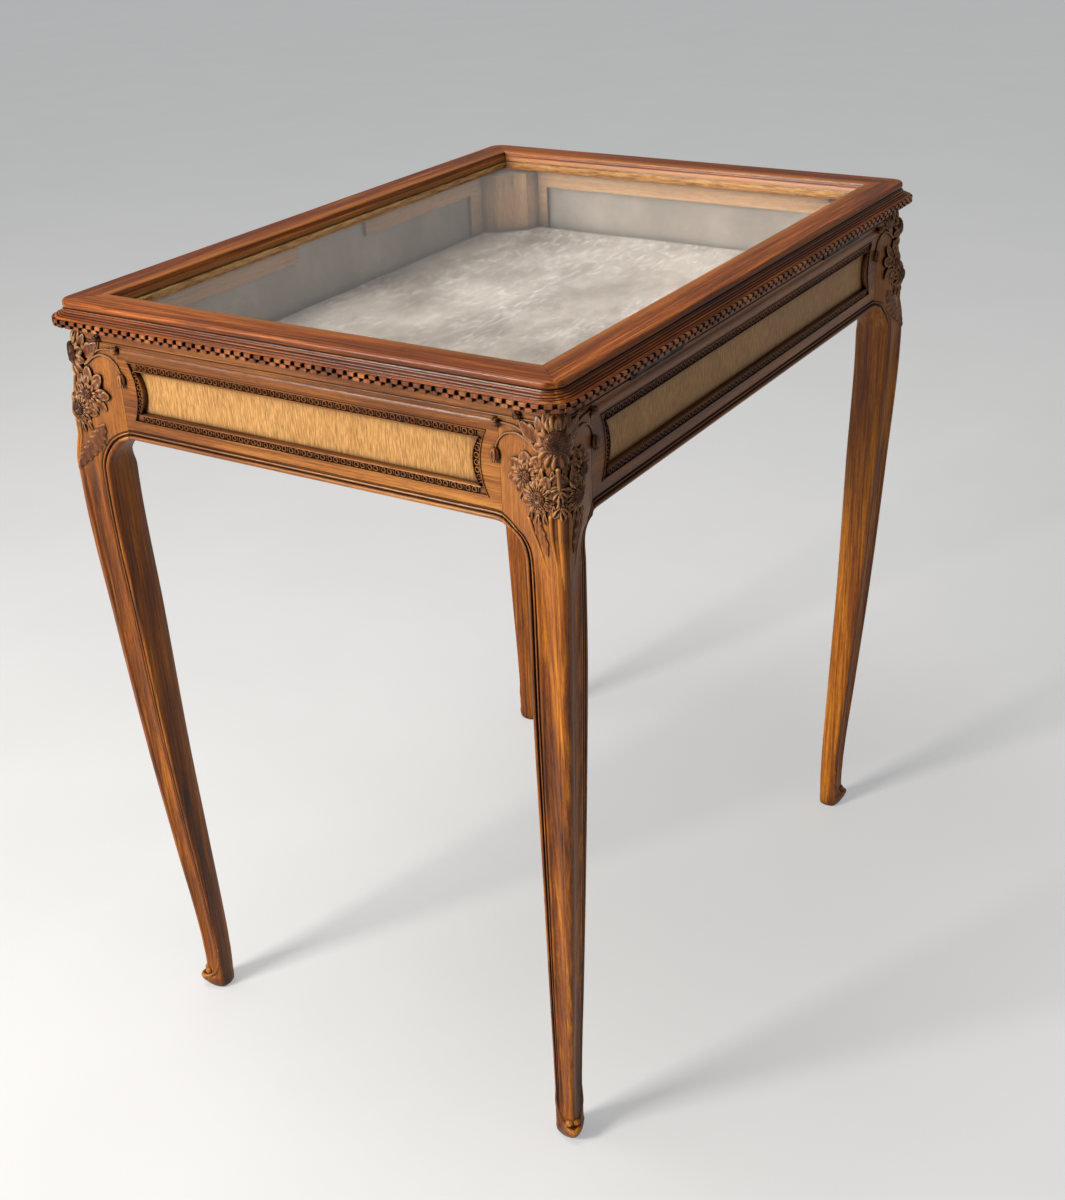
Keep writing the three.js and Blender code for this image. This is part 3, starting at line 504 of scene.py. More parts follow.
EYE = (1.28491, 0.83300, 1.14552)
YAW, PITCH, ROLL = (math.radians(a) for a in (213.04, 26.83, -2.52))
FOCAL_PIXELS, PHOTO_HEIGHT, SENSOR = 1625.36, 1200, 36.0
FLOOR_HALF, FLOOR_GLOW, SKY_STRENGTH = 14000.0, 0.34, 0.24
LAMPS = (
    # name, place, size, power, colour
    ("key", (2.6, -1.2, 1.6), (0.8, 0.8), 125, (1.0, 0.95, 0.88)),
    ("overhead", (0.5, -0.5, 2.7), (1.4, 1.2), 32, (1.0, 0.98, 0.95)),
    ("fill", (0.4, 2.8, 1.3), (1.6, 1.2), 2, (1.0, 0.96, 0.92)),
)
LIT_PLACE = Vector((0, 0, 0.55))


def camera():
    ahead = Vector((math.cos(PITCH) * math.cos(YAW), math.cos(PITCH) * math.sin(YAW), -math.sin(PITCH)))
    level = Vector((math.sin(YAW), -math.cos(YAW), 0))
    right = math.cos(ROLL) * level + math.sin(ROLL) * level.cross(ahead)
    data = bpy.data.cameras.new("camera")
    data.sensor_fit, data.sensor_height = "VERTICAL", SENSOR
    data.lens = FOCAL_PIXELS * SENSOR / PHOTO_HEIGHT
    eye = put("camera", data)
    eye.matrix_world = Matrix.Translation(EYE) @ Matrix((right, right.cross(ahead), -ahead)).transposed().to_4x4()
    bpy.context.scene.camera = eye


def floor():
    """A pale floor, with a glow that only the camera, gloss and glass see."""
    s = FLOOR_HALF
    n = Nodes("floor")
    n.shade(Base_Color=n.ramp(n.noise((3, 3, 3), detail=3.0), (0.3, 0.4), (0.7, 0.43)), Roughness=0.8)
    sight = n.node("LightPath").outputs
    seen = n.maths("MAXIMUM", sight["Is Camera Ray"], sight["Is Glossy Ray"])
    seen = n.maths("MAXIMUM", seen, sight["Is Transmission Ray"])
    glow = n.node("Emission", {"Color": (0.96, 0.98, 1.0, 1), "Strength": n.maths("MULTIPLY", seen, FLOOR_GLOW)})
    n.surface(n.node("AddShader", {0: n.shader.outputs[0], 1: glow.outputs[0]}))
    ground = put("floor", new_mesh("floor", [(-s, -s, 0), (s, -s, 0), (s, s, 0), (-s, s, 0)], [(0, 1, 2, 3)]))
    ground.data.materials.append(n.material)


def lamp(name, place, size, power, colour):
    data = bpy.data.lights.new(name, "AREA")
    data.shape = "RECTANGLE"
    data.size, data.size_y = size
    data.energy, data.color = power, colour
    turn = (LIT_PLACE - Vector(place)).to_track_quat("-Z", "Y").to_matrix().to_4x4()
    put(name, data).matrix_world = Matrix.Translation(place) @ turn


def studio():
    bpy.context.scene.view_settings.view_transform = "Standard"
    world = bpy.data.worlds.new("studio")
    world.use_nodes = True
    sky = world.node_tree.nodes["Background"].inputs
    sky["Color"].default_value, sky["Strength"].default_value = (1.0, 0.98, 0.95, 1), SKY_STRENGTH
    bpy.context.scene.world = world
    for row in LAMPS:
        lamp(*row)


camera()
floor()
studio()


# Leg: places inside a corner of the case are (p, q) insets from its two faces

FOOT_ROWS = (
    # height, how far the front stands out of the case faces, width, roundness, share drawn out at the toe
    (0.0, -20.4, 16.2, 0.72, 0.04), (0.7, -19.3, 18.2, 0.68, 0.06), (2.2, -18.2, 20.2, 0.62, 0.1),
    (5.0, -17.2, 21.6, 0.56, 0.16), (9.0, -16.5, 22.4, 0.5, 0.24), (12.0, -16.3, 22.5, 0.46, 0.28),
    (14.0, -16.6, 22.1, 0.44, 0.25), (16.0, -17.3, 21.2, 0.38, 0.12), (18.6, -17.6, 20.8, 0.33, 0.06),
    (28.0, -17.9, 20.4, 0.2, 0.05), (36.0, -18.5, 19.7, 0.12, 0.07), (46.0, -18.9, 19.2, 0.06, 0.1),
    (58.0, -18.9, 19.0, 0.02, 0.12),
)
SHAFT_ROWS = (
    (76.0, -18.2, 19.4, 0.0, 0.12), (178.0, -11.6, 23.3, 0.0, 0.12), (302.0, -3.9, 27.6, 0.0, 0.12),
    (449.0, 3.2, 32.4, 0.0, 0.12), (607.5, 9.4, 36.0, 0.0, 0.12),
)
SHOULDER_ROWS = ((641.5, 9.3), (669.0, 7.8), (698.4, 4.0), (724.2, 0.0))
LEG_ROWS = FOOT_ROWS + SHAFT_ROWS
SWEEP_RADIUS = 32.0
SWEEP_BOTTOM = APRON_BOTTOM - SWEEP_RADIUS
SWEEP_CENTRE = SHAFT_ROWS[-1][2] - SHAFT_ROWS[-1][1] + SWEEP_RADIUS
LEG_CHAMFER = 16.0


def leg_column(k, *more):
    """A curve of one column of the leg's rows over the height."""
    return smooth_curve(*[(row[0], row[k]) for row in LEG_ROWS], *more)


leg_out, leg_width = leg_column(1, *SHOULDER_ROWS), leg_column(2)
leg_round, leg_reach = leg_column(3, (APRON_TOP, 0.0)), leg_column(4, (APRON_TOP, 0.12))
leg_flush = smooth_curve((0, 0), (449, 0), (607.5, 0.25), (638, 1), (APRON_TOP, 1))
leg_flute = smooth_curve((17, 0), (30, 0.6), (60, 0.9), (90, 1), (560, 1), (648, 0), (APRON_TOP, 0))
leg_chamfer = smooth_curve((0, 0), (600, 0), (638, LEG_CHAMFER), (APRON_TOP, LEG_CHAMFER))
# Flute across a face: share of the way from the arris to the edge moulding, depth share of width
flute = smooth_curve(
    (0, 0), (0.04, 0.008), (0.075, 0.046), (0.11, 0.048), (0.15, 0.04), (0.34, 0.078), (0.55, 0.098), (0.78, 0.07),
    (0.94, 0.02), (1, 0.03),
)
# Edge moulding across the grain: distance from the edge, rise
EDGE_POINTS = (
    (0.0, -0.7), (0.6, 0.6), (1.5, 1.25), (2.5, 1.4), (3.5, 1.05), (4.1, 0.2), (4.6, -1.3), (5.2, -1.4),
    (5.7, -0.2), (6.5, 0.6), (7.3, 0.3), (7.8, -0.9), (8.3, -0.8), (9.2, 0.0),
)
EDGE_WIDTH = EDGE_POINTS[-1][0]
EDGE_LINES = [d for (d, _), (e, _) in zip(EDGE_POINTS, EDGE_POINTS[1:]) for d in (d, (d + e) / 2)]
EDGE_LINES = [*EDGE_LINES, EDGE_WIDTH][::-1]
edge_rise = smooth_curve(*EDGE_POINTS)
edge_fade = smooth_curve((20, 0), (44, 0.7), (100, 1), (APRON_TOP, 1))
FULL_MOULDING_WIDTH = 40
ARRIS_SHARE = 0.225
HEEL_REACH = 0.03
INNER_EASE = 0.06
ARRIS_STEPS = 8
FLAT_STEPS = 36
LEG_SPANS = (
    # from, to, rough distance between the rings
    (0.0, 3.0, 0.5), (3.0, 62, 0.9), (62, 80, 1.5), (80, 110, 2.5), (110, 600, 5.0), (600, 610, 2.0),
    (610, 628, 1.0), (628, 649, 0.4), (649, 655, 1.0), (655, APRON_TOP, 3.0),
)


def leg_inner(z):
    """Where the leg's inner edge runs, as an inset from the end of the case."""
    up = np.clip(z - SWEEP_BOTTOM, 0, SWEEP_RADIUS)
    swept = SWEEP_CENTRE - np.sqrt(SWEEP_RADIUS**2 - up**2)
    return np.where(z <= SWEEP_BOTTOM, leg_width(z) - leg_out(z), np.minimum(swept, LEG_STOCK))


def leg_size(z):
    """How far the leg stands out, its inner inset, its width, and the radius and centre of its arris."""
    out, inner = leg_out(z), leg_inner(z)
    radius = ARRIS_SHARE * (inner + out)
    return out, inner, inner + out, radius, radius - out


def edge_distance(p, z, inner):
    """Distance of a point on a face from the swept edge below and inside it."""
    up = np.maximum(z - SWEEP_BOTTOM, 0)
    return np.where(z <= SWEEP_BOTTOM, inner - p, np.hypot(SWEEP_CENTRE - p, up) - SWEEP_RADIUS)


def edge_line(z, distance, inner, scale):
    """How far in the line at a distance from the leg's swept edge lies at a height."""
    up = z - SWEEP_BOTTOM
    if up <= 0:
        return inner - distance * scale
    return min(SWEEP_CENTRE - math.sqrt(max((SWEEP_RADIUS + distance) ** 2 - up**2, 0)), LEG_STOCK)


def face_depth(run, z):
    """How deep a face lies at a place between the arris and the edge, with its flute."""
    out, inner, width, _, centre = leg_size(z)
    reach = inner - EDGE_WIDTH * min(1.0, width / FULL_MOULDING_WIDTH) - centre
    fluted = flute(np.clip((run - centre) / reach, 0, 1)) * width * leg_flute(z)
    share = np.minimum((run - centre) / (inner - centre), 1)
    return -out * (1 - leg_flush(z) * share**2) + fluted


def leg_face(z):
    """Points of one outer face at a height, from the middle of the arris to the inner edge."""
    _, inner, width, radius, centre = leg_size(z)
    angles = np.linspace(math.pi / 4, 0, ARRIS_STEPS, endpoint=False)
    scale = min(1.0, width / FULL_MOULDING_WIDTH)
    lines = [edge_line(z, d, inner, scale) for d in EDGE_LINES]
    run = np.concatenate([np.linspace(centre, lines[0], FLAT_STEPS, endpoint=False), lines])
    distance = edge_distance(run, z, inner) / scale
    fade = edge_fade(z) * scale
    rise = np.where(distance < EDGE_WIDTH, edge_rise(np.clip(distance, 0, EDGE_WIDTH)), 0) * fade
    p = np.concatenate([centre - radius * np.sin(angles), run])
    return p, np.concatenate([centre - radius * np.cos(angles), face_depth(run, z) - rise])


def leg_ring(z):
    """The whole outline of the leg at a height, as (p, q) points."""
    p, q = leg_face(z)
    out, inner, width, _, _ = leg_size(z)
    corner = INNER_EASE * width * (1 - leg_flush(z)) + leg_chamfer(z)
    side = [(inner, q[-1] + (inner - corner - q[-1]) * t) for t in (0.25, 0.6, 1.0)]
    face = list(zip(p, q))
    ring = face + side + [(b, a) for a, b in side[::-1]] + [(b, a) for a, b in face[:0:-1]]
    round_, middle = leg_round(z), (inner - out) / 2
    away = np.array(ring) - middle
    away = away * (1 - round_ + round_ * width / 2 / np.hypot(*away.T))[:, None]
    return middle + away + drawn_out(away.sum(axis=1), z)[:, None]


def drawn_out(lean, z):
    """How far a section is stretched along its diagonal, towards the arris and the heel."""
    return np.where(lean < 0, leg_reach(z), HEEL_REACH) * (1 - leg_flush(z)) * lean


LIP_PATH = (
    # height and angle from the toe of the flange that curls forward from each edge, and its radius
    (52.0, 90.0, 0.5), (42.0, 89.0, 1.4), (32.0, 84.0, 2.2), (24.5, 70.0, 2.6), (18.6, 48.0, 2.9), (14.8, 25.0, 3.1),
    (13.6, 0.0, 3.1),
)
LIP_SINK, LIP_STEPS = 0.55, 57
BALL_RADIUS, BALL_HEIGHT, BALL_SWING, BALL_SINK = 4.2, 20.5, 14.5, 0.9
TOE_HEADING = 225


def on_leg(z, angle, sink):
    """The place sunk into the leg's surface at a height, in the direction of an angle from its toe."""
    centre = (leg_inner(z) - leg_out(z)) / 2
    away = leg_ring(z) - centre
    turn = np.arctan2(away[:, 1], away[:, 0])
    order = np.argsort(turn)
    heading = (math.radians(TOE_HEADING + angle) + math.pi) % (2 * math.pi) - math.pi
    reach = np.interp(heading, turn[order], np.hypot(*away.T)[order], period=2 * math.pi) - sink
    return np.array([centre + reach * math.cos(heading), centre + reach * math.sin(heading), z])


def tube(path, radii, sides=8):
    """A round bar along points, with pointed ends."""
    path = np.asarray(path, float)
    ahead = np.gradient(path, axis=0)
    ahead /= np.linalg.norm(ahead, axis=1)[:, None]
    up = np.array([0.3, 0.2, 1.0])
    rings = []
    for point, direction, radius in zip(path, ahead, radii):
        side = unit(np.cross(direction, up))
        up = np.cross(side, direction)
        rings.append([point + radius * (math.cos(a) * side + math.sin(a) * up) for a in turns(sides)])
    return pinched(rings, path[0] - ahead[0] * radii[0], path[-1] + ahead[-1] * radii[-1])


def ball(centre, radius, rings=7, sides=12):
    around = np.array([(math.cos(a), math.sin(a), 0) for a in turns(sides)])
    up = np.array([0, 0, radius])
    rows = [
        centre + radius * math.sin(tilt) * around + math.cos(tilt) * up
        for tilt in np.linspace(0, math.pi, rings + 1)[1:-1]
    ]
    return pinched(rows, centre + up, centre - up)


def foot(stock):
    """The flange that curls round the toe and the two carved balls in it, in (p, q, z)."""
    lip, swing, thick = (smooth_curve(*enumerate(values)) for values in zip(*LIP_PATH))
    last = len(LIP_PATH) - 1
    path, radii = [], []
    for t in np.linspace(-last, last, LIP_STEPS):
        u = last - abs(t)
        radii.append(thick(u))
        path.append(on_leg(lip(u), math.copysign(swing(u), t), LIP_SINK * radii[-1]))
    stock.add(*tube(path, radii, sides=14))
    for angle in (-BALL_SWING, BALL_SWING):
        stock.add(*ball(on_leg(BALL_HEIGHT, angle, BALL_SINK), BALL_RADIUS, rings=10, sides=16))


def leg(name, signs):
    heights = [
        z for low, high, step in LEG_SPANS for z in np.linspace(low, high, round((high - low) / step), endpoint=False)
    ]
    rings = [[(p, q, z) for p, q in leg_ring(z)] for z in (*heights, APRON_TOP)]
    stock = Stock().add(*clean(*loft(rings)))
    foot(stock)
    stock.in_corner(signs).make("carved_leg_" + name, LEG_WALNUT, ["leg_" + name], sharp=50)


for corner, signs in CORNERS.items():
    leg(corner, signs)


# Carved flowers, in a corner's (p, q, z)

ARRIS = -5.0
ARRIS_REACH = 15.0


def knee(side, a, z):
    """A point on the knee and the way out of it. Side is 1 or -1. On each face, a counts from the
    case's end, with the arris at ARRIS at every height."""
    if a < ARRIS:
        side, a = -side, 2 * ARRIS - a
    out, inner, _, radius, centre = leg_size(z)
    middle = centre - radius * math.pi / 4
    run = a + (middle - ARRIS) * max(0.0, 1 - (a - ARRIS) / ARRIS_REACH)
    if run < centre:
        angle = (centre - run) / radius
        facing = np.array([-math.sin(angle), -math.cos(angle), 0])
        point = facing * radius + (centre, centre, z)
    else:
        facing = np.array([0.0, -1.0, 0.0])
        point = np.array([run, face_depth(run, z), z])
    point[:2] += drawn_out(point[0] + point[1] - (inner - out), z)
    order = [0, 1, 2] if side > 0 else [1, 0, 2]
    return point[order], facing[order]


def seat(point, facing, heading):
    """Axes at a point: along, across and out."""
    out = unit(facing)
    ahead = unit(heading - out * (heading @ out))
    return point, ahead, np.cross(out, ahead), out


def settled(axes, local):
    point, ahead, across, out = axes
    return point + local[:, :1] * ahead + local[:, 1:2] * across + local[:, 2:3] * out


PETAL_ROWS = 8
PETAL_SIDES = 12
PETAL_END = 0.82
TOOTH_LOW, TOOTH_RISE = 0.8, 0.36
THIN_SHARE = 0.3
CREASE_REACH = 0.16
TIP_SHARE = 0.7
BLADE_OVERREACH, BLADE_LEAN = 1.06, 0.6


def petal(stock, axes, length, width, thick, rise, fall, fullness=1.15, crease=0.5, teeth=0):
    """One petal or leaf from its root: a puffed blade with a crease, rising and then falling."""
    rings = []
    rows = PETAL_ROWS + 3 * teeth
    x, height, angle = 0.0, 0.0, rise
    for i in range(1, rows):
        t = i / rows
        angle = rise + (fall - rise) * t
        x += length / rows * math.cos(angle)
        height += length / rows * math.sin(angle)
        broad = math.sin(math.pi * t**fullness) ** PETAL_END
        if teeth:
            broad *= TOOTH_LOW + TOOTH_RISE * ((t * teeth) % 1)
        half, deep = width / 2 * broad, thick * (THIN_SHARE + (1 - THIN_SHARE) * broad)
        ring = []
        for a in turns(PETAL_SIDES):
            y, z = half * math.cos(a), deep * math.sin(a)
            if z > 0:
                z -= crease * 2 * deep * math.exp(-((y / (CREASE_REACH * width)) ** 2))
            ring.append([x - z * math.sin(angle), y, height + z * math.cos(angle)])
        rings.append(ring)
    step = TIP_SHARE * length / rows
    points, faces = pinched(rings, (0, 0, 0), (x + step * math.cos(angle), 0, height + step * math.sin(angle)))
    stock.add(settled(axes, points), faces)


def blade(stock, side, start, end, width, lift=1.0, thick=1.4, rise=0.35, fall=-0.5, **more):
    """A petal or leaf laid on the knee from one (a, height) place to another."""
    first, facing = knee(side, *start)
    last, other = knee(side, *end)
    heading = last - first
    axes = seat(first + facing * lift, facing + BLADE_LEAN * other, heading)
    petal(stock, axes, BLADE_OVERREACH * np.linalg.norm(heading), width, thick, rise, fall, **more)


LEAF_SIDES, LEAF_FULLNESS, LEAF_END = 18, 0.72, 0.8
LEAF_SWAY, LEAF_BELLY = 1.2, 1.2
LEAF_TOOTH_LOW, LEAF_TOOTH_RISE = 0.84, 0.3
LEAF_THIN_SHARE = 0.45
MIDRIB_DEPTH, MIDRIB_REACH = 0.75, 0.14
VEIN_RISE, VEIN_SLANT = 0.22, 0.9


def laid_leaf(stock, side, start, end, width, thick, teeth):
    """A leaf that hugs the knee, with a hollow midrib, slanted veins and a toothed edge."""
    start, end = np.array(start, float), np.array(end, float)
    ahead = unit(end - start)
    across = np.array([-ahead[1], ahead[0]])
    rings, rows = [], 7 * teeth
    for i in range(1, rows):
        t = i / rows
        broad = math.sin(math.pi * t**LEAF_FULLNESS) ** LEAF_END
        broad *= LEAF_TOOTH_LOW + LEAF_TOOTH_RISE * ((t * teeth) % 1)
        middle = start + (end - start) * t + across * (LEAF_SWAY * math.sin(2 * math.pi * t))
        ring = []
        for turn in turns(LEAF_SIDES):
            y, up = math.cos(turn), math.sin(turn)
            if up > 0:
                rise = thick * up**0.5 * (LEAF_THIN_SHARE + (1 - LEAF_THIN_SHARE) * broad)
                rise *= 1 - MIDRIB_DEPTH * math.exp(-((y / MIDRIB_REACH) ** 2))
                rise *= 1 + VEIN_RISE * math.cos(2 * math.pi * (t * teeth - VEIN_SLANT * abs(y)))
            else:
                rise = LEAF_BELLY * up
            point, facing = knee(side, *(middle + across * (y * broad * width / 2)))
            ring.append(point + facing * rise)
        rings.append(ring)
    stock.add(*pinched(rings, knee(side, *start)[0], knee(side, *end)[0]))


def ring_of_petals(stock, side, centre, radius, count, width, lift, rng, turn=0.0, root=0.3, **more):
    """Petals laid round a centre on the knee."""
    for i in range(count):
        angle = 2 * math.pi * (i + turn) / count + rng.uniform(-0.1, 0.1)
        far = radius * rng.uniform(0.92, 1.08)
        start, end = (
            (centre[0] + reach * math.cos(angle), centre[1] + reach * math.sin(angle))
            for reach in (root * radius, far)
        )
        blade(stock, side, start, end, width * rng.uniform(0.9, 1.1), lift + rng.uniform(-0.2, 0.3), **more)


GOLDEN_ANGLE = 2.39996


def heart(stock, side, centre, radius, lift, rise, seeds, rng, hole=0.0):
    """The seed disc of a flower: a low dome with a dimple, covered with seeds in a spiral."""
    point, facing = knee(side, *centre)
    axes = seat(point + facing * lift, facing, np.array([0.0, 0.0, 1.0]))
    deep = -0.4 if hole else 0.62
    profile = ((1.0, -1.2), (1.0, 0.05), (0.92, 0.5), (0.74, 0.9), (0.5, 1.0), (0.3, 0.75), (0.12, deep))
    rings = [
        [(share * radius * math.cos(a), share * radius * math.sin(a), up * rise) for a in turns(28)]
        for share, up in profile
    ]
    points, faces = pinched(rings, (0, 0, -1.2 * rise), (0, 0, deep * rise - 0.05))
    stock.add(settled(axes, points), faces)
    dome = smooth_curve(*sorted(profile[1:]))
    for i in range(seeds):
        share = math.sqrt(hole**2 + (1 - hole**2) * (i + 1.5) / (seeds + 1.5))
        angle = i * GOLDEN_ANGLE + rng.uniform(-0.1, 0.1)
        size = radius * 0.5 * (1.5 / math.sqrt(seeds)) * (0.8 + 0.2 * share)
        reach = share * radius * 0.98
        place = (reach * math.cos(angle), reach * math.sin(angle), dome(share) * rise + 0.1 * size)
        stock.add(*ball(settled(axes, np.array([place]))[0], size, rings=4, sides=6))


def stem(stock, side, places, thick, taper=0.5, lift=0.35, sink=0.0):
    """A stem along (a, height) places on the knee, sinking into it towards its end."""
    t = np.linspace(0, len(places) - 1, 6 * len(places))
    across, up = (smooth_curve(*enumerate(values))(t) for values in zip(*places))
    share = t / t[-1]
    path = []
    for a, z, way in zip(across, up, share):
        point, facing = knee(side, a, z)
        path.append(point + facing * (lift - sink * way**2))
    stock.add(*tube(path, thick * (1 - (1 - taper) * share)))


def lobed_ring(centre, reach, first, second, sides, lobes, depth, power):
    """A ring with grooves between lobes."""
    radii = [reach * (1 - depth * abs(math.cos(lobes / 2 * a)) ** power) for a in turns(sides)]
    return [centre + r * (math.cos(a) * first + math.sin(a) * second) for r, a in zip(radii, turns(sides))]


def bud(stock, side, centre, radius, rng, hearts=None):
    """A closed bud: a ball of five lobes, with a few seeds on top if it has a heart."""
    point, facing = knee(side, *centre)
    middle = point + facing * radius * 0.7
    level = np.array([0, 0, 1.0])
    other = np.cross(facing, level)
    rows = [
        lobed_ring(middle + radius * math.cos(tilt) * facing, radius * math.sin(tilt), level, other, 25, 5, 0.16, 6)
        for tilt in np.linspace(0, math.pi, 11)[1:-1]
    ]
    stock.add(*pinched(rows, middle + facing * radius * 0.8, middle - facing * radius))
    if hearts:
        heart(hearts, side, centre, radius * 0.8, radius * 1.5, 0.8, 24, rng)


def hanging_bud(stock, side, top, length):
    """A half-open bud that hangs: a fluted cup under a small cap, with petal tips below."""
    point, facing = knee(side, *top)
    down = np.array([0.0, 0.0, -1.0])
    across = np.cross(facing, down)
    middle = point + down * length * 0.48 + facing * length * 0.12
    rows = []
    for share in np.linspace(0, 1, 13)[1:-1]:
        tilt = math.pi * share
        reach = 0.38 * length * math.sin(tilt) ** 0.8 * (0.92 + 0.16 * share)
        rows.append(lobed_ring(middle - 0.5 * length * math.cos(tilt) * down, reach, facing, across, 35, 7, 0.2, 5))
    stock.add(*pinched(rows, middle - down * length * 0.52, middle + down * length * 0.46))
    for swing in (-1.0, -0.5, 0.0, 0.5, 1.0):
        out = math.cos(swing) * facing + math.sin(swing) * across
        place = middle + 0.26 * length * (down + out)
        petal(stock, seat(place, out, down), length * 0.34, length * 0.2, 0.7, 0.3, -0.1)


# Petals that fill the cluster: (a, height) of the root and of the tip, width, lift
FILL = (
    ((11.3, 692), (11.9, 675), 5.6, 2.6), ((-2.7, 688), (8.5, 675), 6.4, 2.2), ((2, 690), (2.5, 678), 4.6, 1.2),
    ((18, 697), (15, 685), 5.0, 1.4), ((22, 689), (17.5, 675), 5.6, 3.0), ((-3, 676), (7, 671), 5.6, 2.6),
    ((5.7, 661), (-3, 653), 5.0, 1.6), ((9, 657), (7, 645), 4.6, 1.4), ((14, 656), (15, 643), 4.4, 1.2),
    ((20, 658), (23, 646), 4.6, 1.0), ((-2, 668), (-4, 658), 5.2, 2.2), ((27, 672), (31, 660), 5.0, 0.9),
    ((2, 664), (1, 651), 4.6, 1.8),
)
FILL_SHIFT = (-2.5, 1.5)
# Places of the three flowers, and how the upper ones move and grow on a face with a broad leaf
UPPER, LOWER, CROWN = (22.5, 684.5), (10.5, 669.5), (ARRIS, 712.5)
CROWN_ROOT = 0.3
LEAFY_SHIFT, LEAFY_SIZE = (-5.0, -5.5), 1.2
# Tips of the arris flower's petals, down one side
ARRIS_TIPS = ((4.5, 690.0), (12.5, 696.0), (17.3, 706.5), (16.0, 717.0), (9.5, 726.0), (2.8, 731.5))
# Small leaves under it: distance from the arris and height of the tip, height of the root, width, thickness
ARRIS_LEAVES = (
    (5, 668, 676, 5.4, 1.8), (-5, 668, 676, 5.4, 1.8), (0, 664, 676, 5.4, 1.8),
    (6, 655, 664, 5.6, 1.9), (-6, 655, 664, 5.6, 1.9), (2, 651, 664, 5.6, 1.9),
)
# Sides with a broad leaf: 1 is the leg's long face and -1 its short face
LEAFY = {"back_right": (), "front_right": (-1,), "back_left": (1,), "front_left": (1, -1)}


def crown_petal(stock, side, tip, width, lift):
    start = tuple(c + CROWN_ROOT * (t - c) for c, t in zip(CROWN, tip))
    blade(stock, side, start, tip, width, lift, 2.1, rise=0.35, fall=-0.7)


def face_flowers(stock, hearts, stems, side, rng, leafy):
    """What is carved on one face of a knee: two flowers, leaves, buds and stems."""
    # Leaves behind the topmost flower, and its petals
    blade(stock, side, (11, 711), (29, 723.5), 12.5, 0.6, 1.5, rise=0.2, fall=-0.25, fullness=0.85, teeth=3)
    blade(stock, side, (8, 714), (15, 730), 8.5, 0.7, 1.5, rise=0.25, fall=-0.3, teeth=2)
    blade(stock, side, (0, 718), (8, 735), 8.0, 0.6, 1.5)
    for tip in ARRIS_TIPS:
        crown_petal(stock, side, tip, 9.6, 3.6)
    # The two flowers on their broad leaves
    shift, size = (LEAFY_SHIFT, LEAFY_SIZE) if leafy else ((0.0, 0.0), 1.0)
    high, low = ((flower[0] + shift[0], flower[1] + shift[1]) for flower in (UPPER, LOWER))

    def petals(centre, radius, count, width, lift, turn=None, **more):
        turn = rng.uniform(0, 1) if turn is None else turn
        ring_of_petals(stock, side, centre, radius, count, width, lift, rng, turn=turn, **more)

    broad_leaf = {"root": 0.2, "thick": 1.3, "rise": 0.12, "fall": -0.2}
    petals(high, 19.5 * size, 8, 10.5, 0.2, **broad_leaf)
    petals(low, 18.5, 8, 9.6, 0.5, **broad_leaf)
    petals(high, 15.8 * size, 9, 8.2, 1.5, thick=1.6, rise=0.45, fall=-0.75)
    petals(high, 10.6, 8, 5.4, 3.0, turn=0.0, thick=1.2, rise=0.5, fall=-0.6)
    heart(hearts, side, high, 5.0, 4.0, 1.7, 34, rng)
    for root, tip, width, lift in FILL:
        places = [(a + shift[0] + FILL_SHIFT[0], z + shift[1] + FILL_SHIFT[1]) for a, z in (root, tip)]
        blade(stock, side, *places, width, lift, 1.5, rise=0.3, fall=-0.6)
    petals(low, 14.8, 10, 7.0, 2.4, thick=1.5, rise=0.4, fall=-0.7)
    petals(low, 10.6, 15, 3.0, 4.0, turn=0.0, root=0.45, thick=0.9, rise=0.3, fall=-0.5)
    heart(hearts, side, low, 6.2, 4.6, 1.5, 52, rng, hole=0.42)
    # Buds on their stems
    stem(stock, side, ((14, 704), (22, 711.5), (28, 716.8), (38, 719.8), (49, 720.3)), 1.3, lift=0.7)
    stem(stock, side, ((16, 705), (25, 711.5), (34, 714.3), (43, 712.4), (50, 706), (53.2, 699)), 1.25, lift=0.7)
    stem(stock, side, ((27, 716), (30, 721), (31.5, 727)), 1.1, lift=0.7)
    bud(stock, side, (51.4, 720.4), 3.7, rng)
    bud(stock, side, (31.7, 729.0), 3.4, rng, hearts)
    hanging_bud(stock, side, (53.6, 699.5), 11.0)
    # Stems and leaves that run down into the leg
    stem(stems, side, ((2, 656), (1.5, 640), (0, 622), (-1.5, 592)), 1.8, taper=0.7, lift=0.2, sink=2.2)
    if leafy:
        laid_leaf(stock, side, (29, 652), (-2, 604), 14.5, 2.1, 8)
    else:
        stem(stems, side, ((21, 652), (16, 638), (9, 616), (3, 590)), 1.6, taper=0.7, lift=0.2, sink=2.0)
        laid_leaf(stock, side, (13, 656), (6.5, 622), 8.5, 1.9, 4)


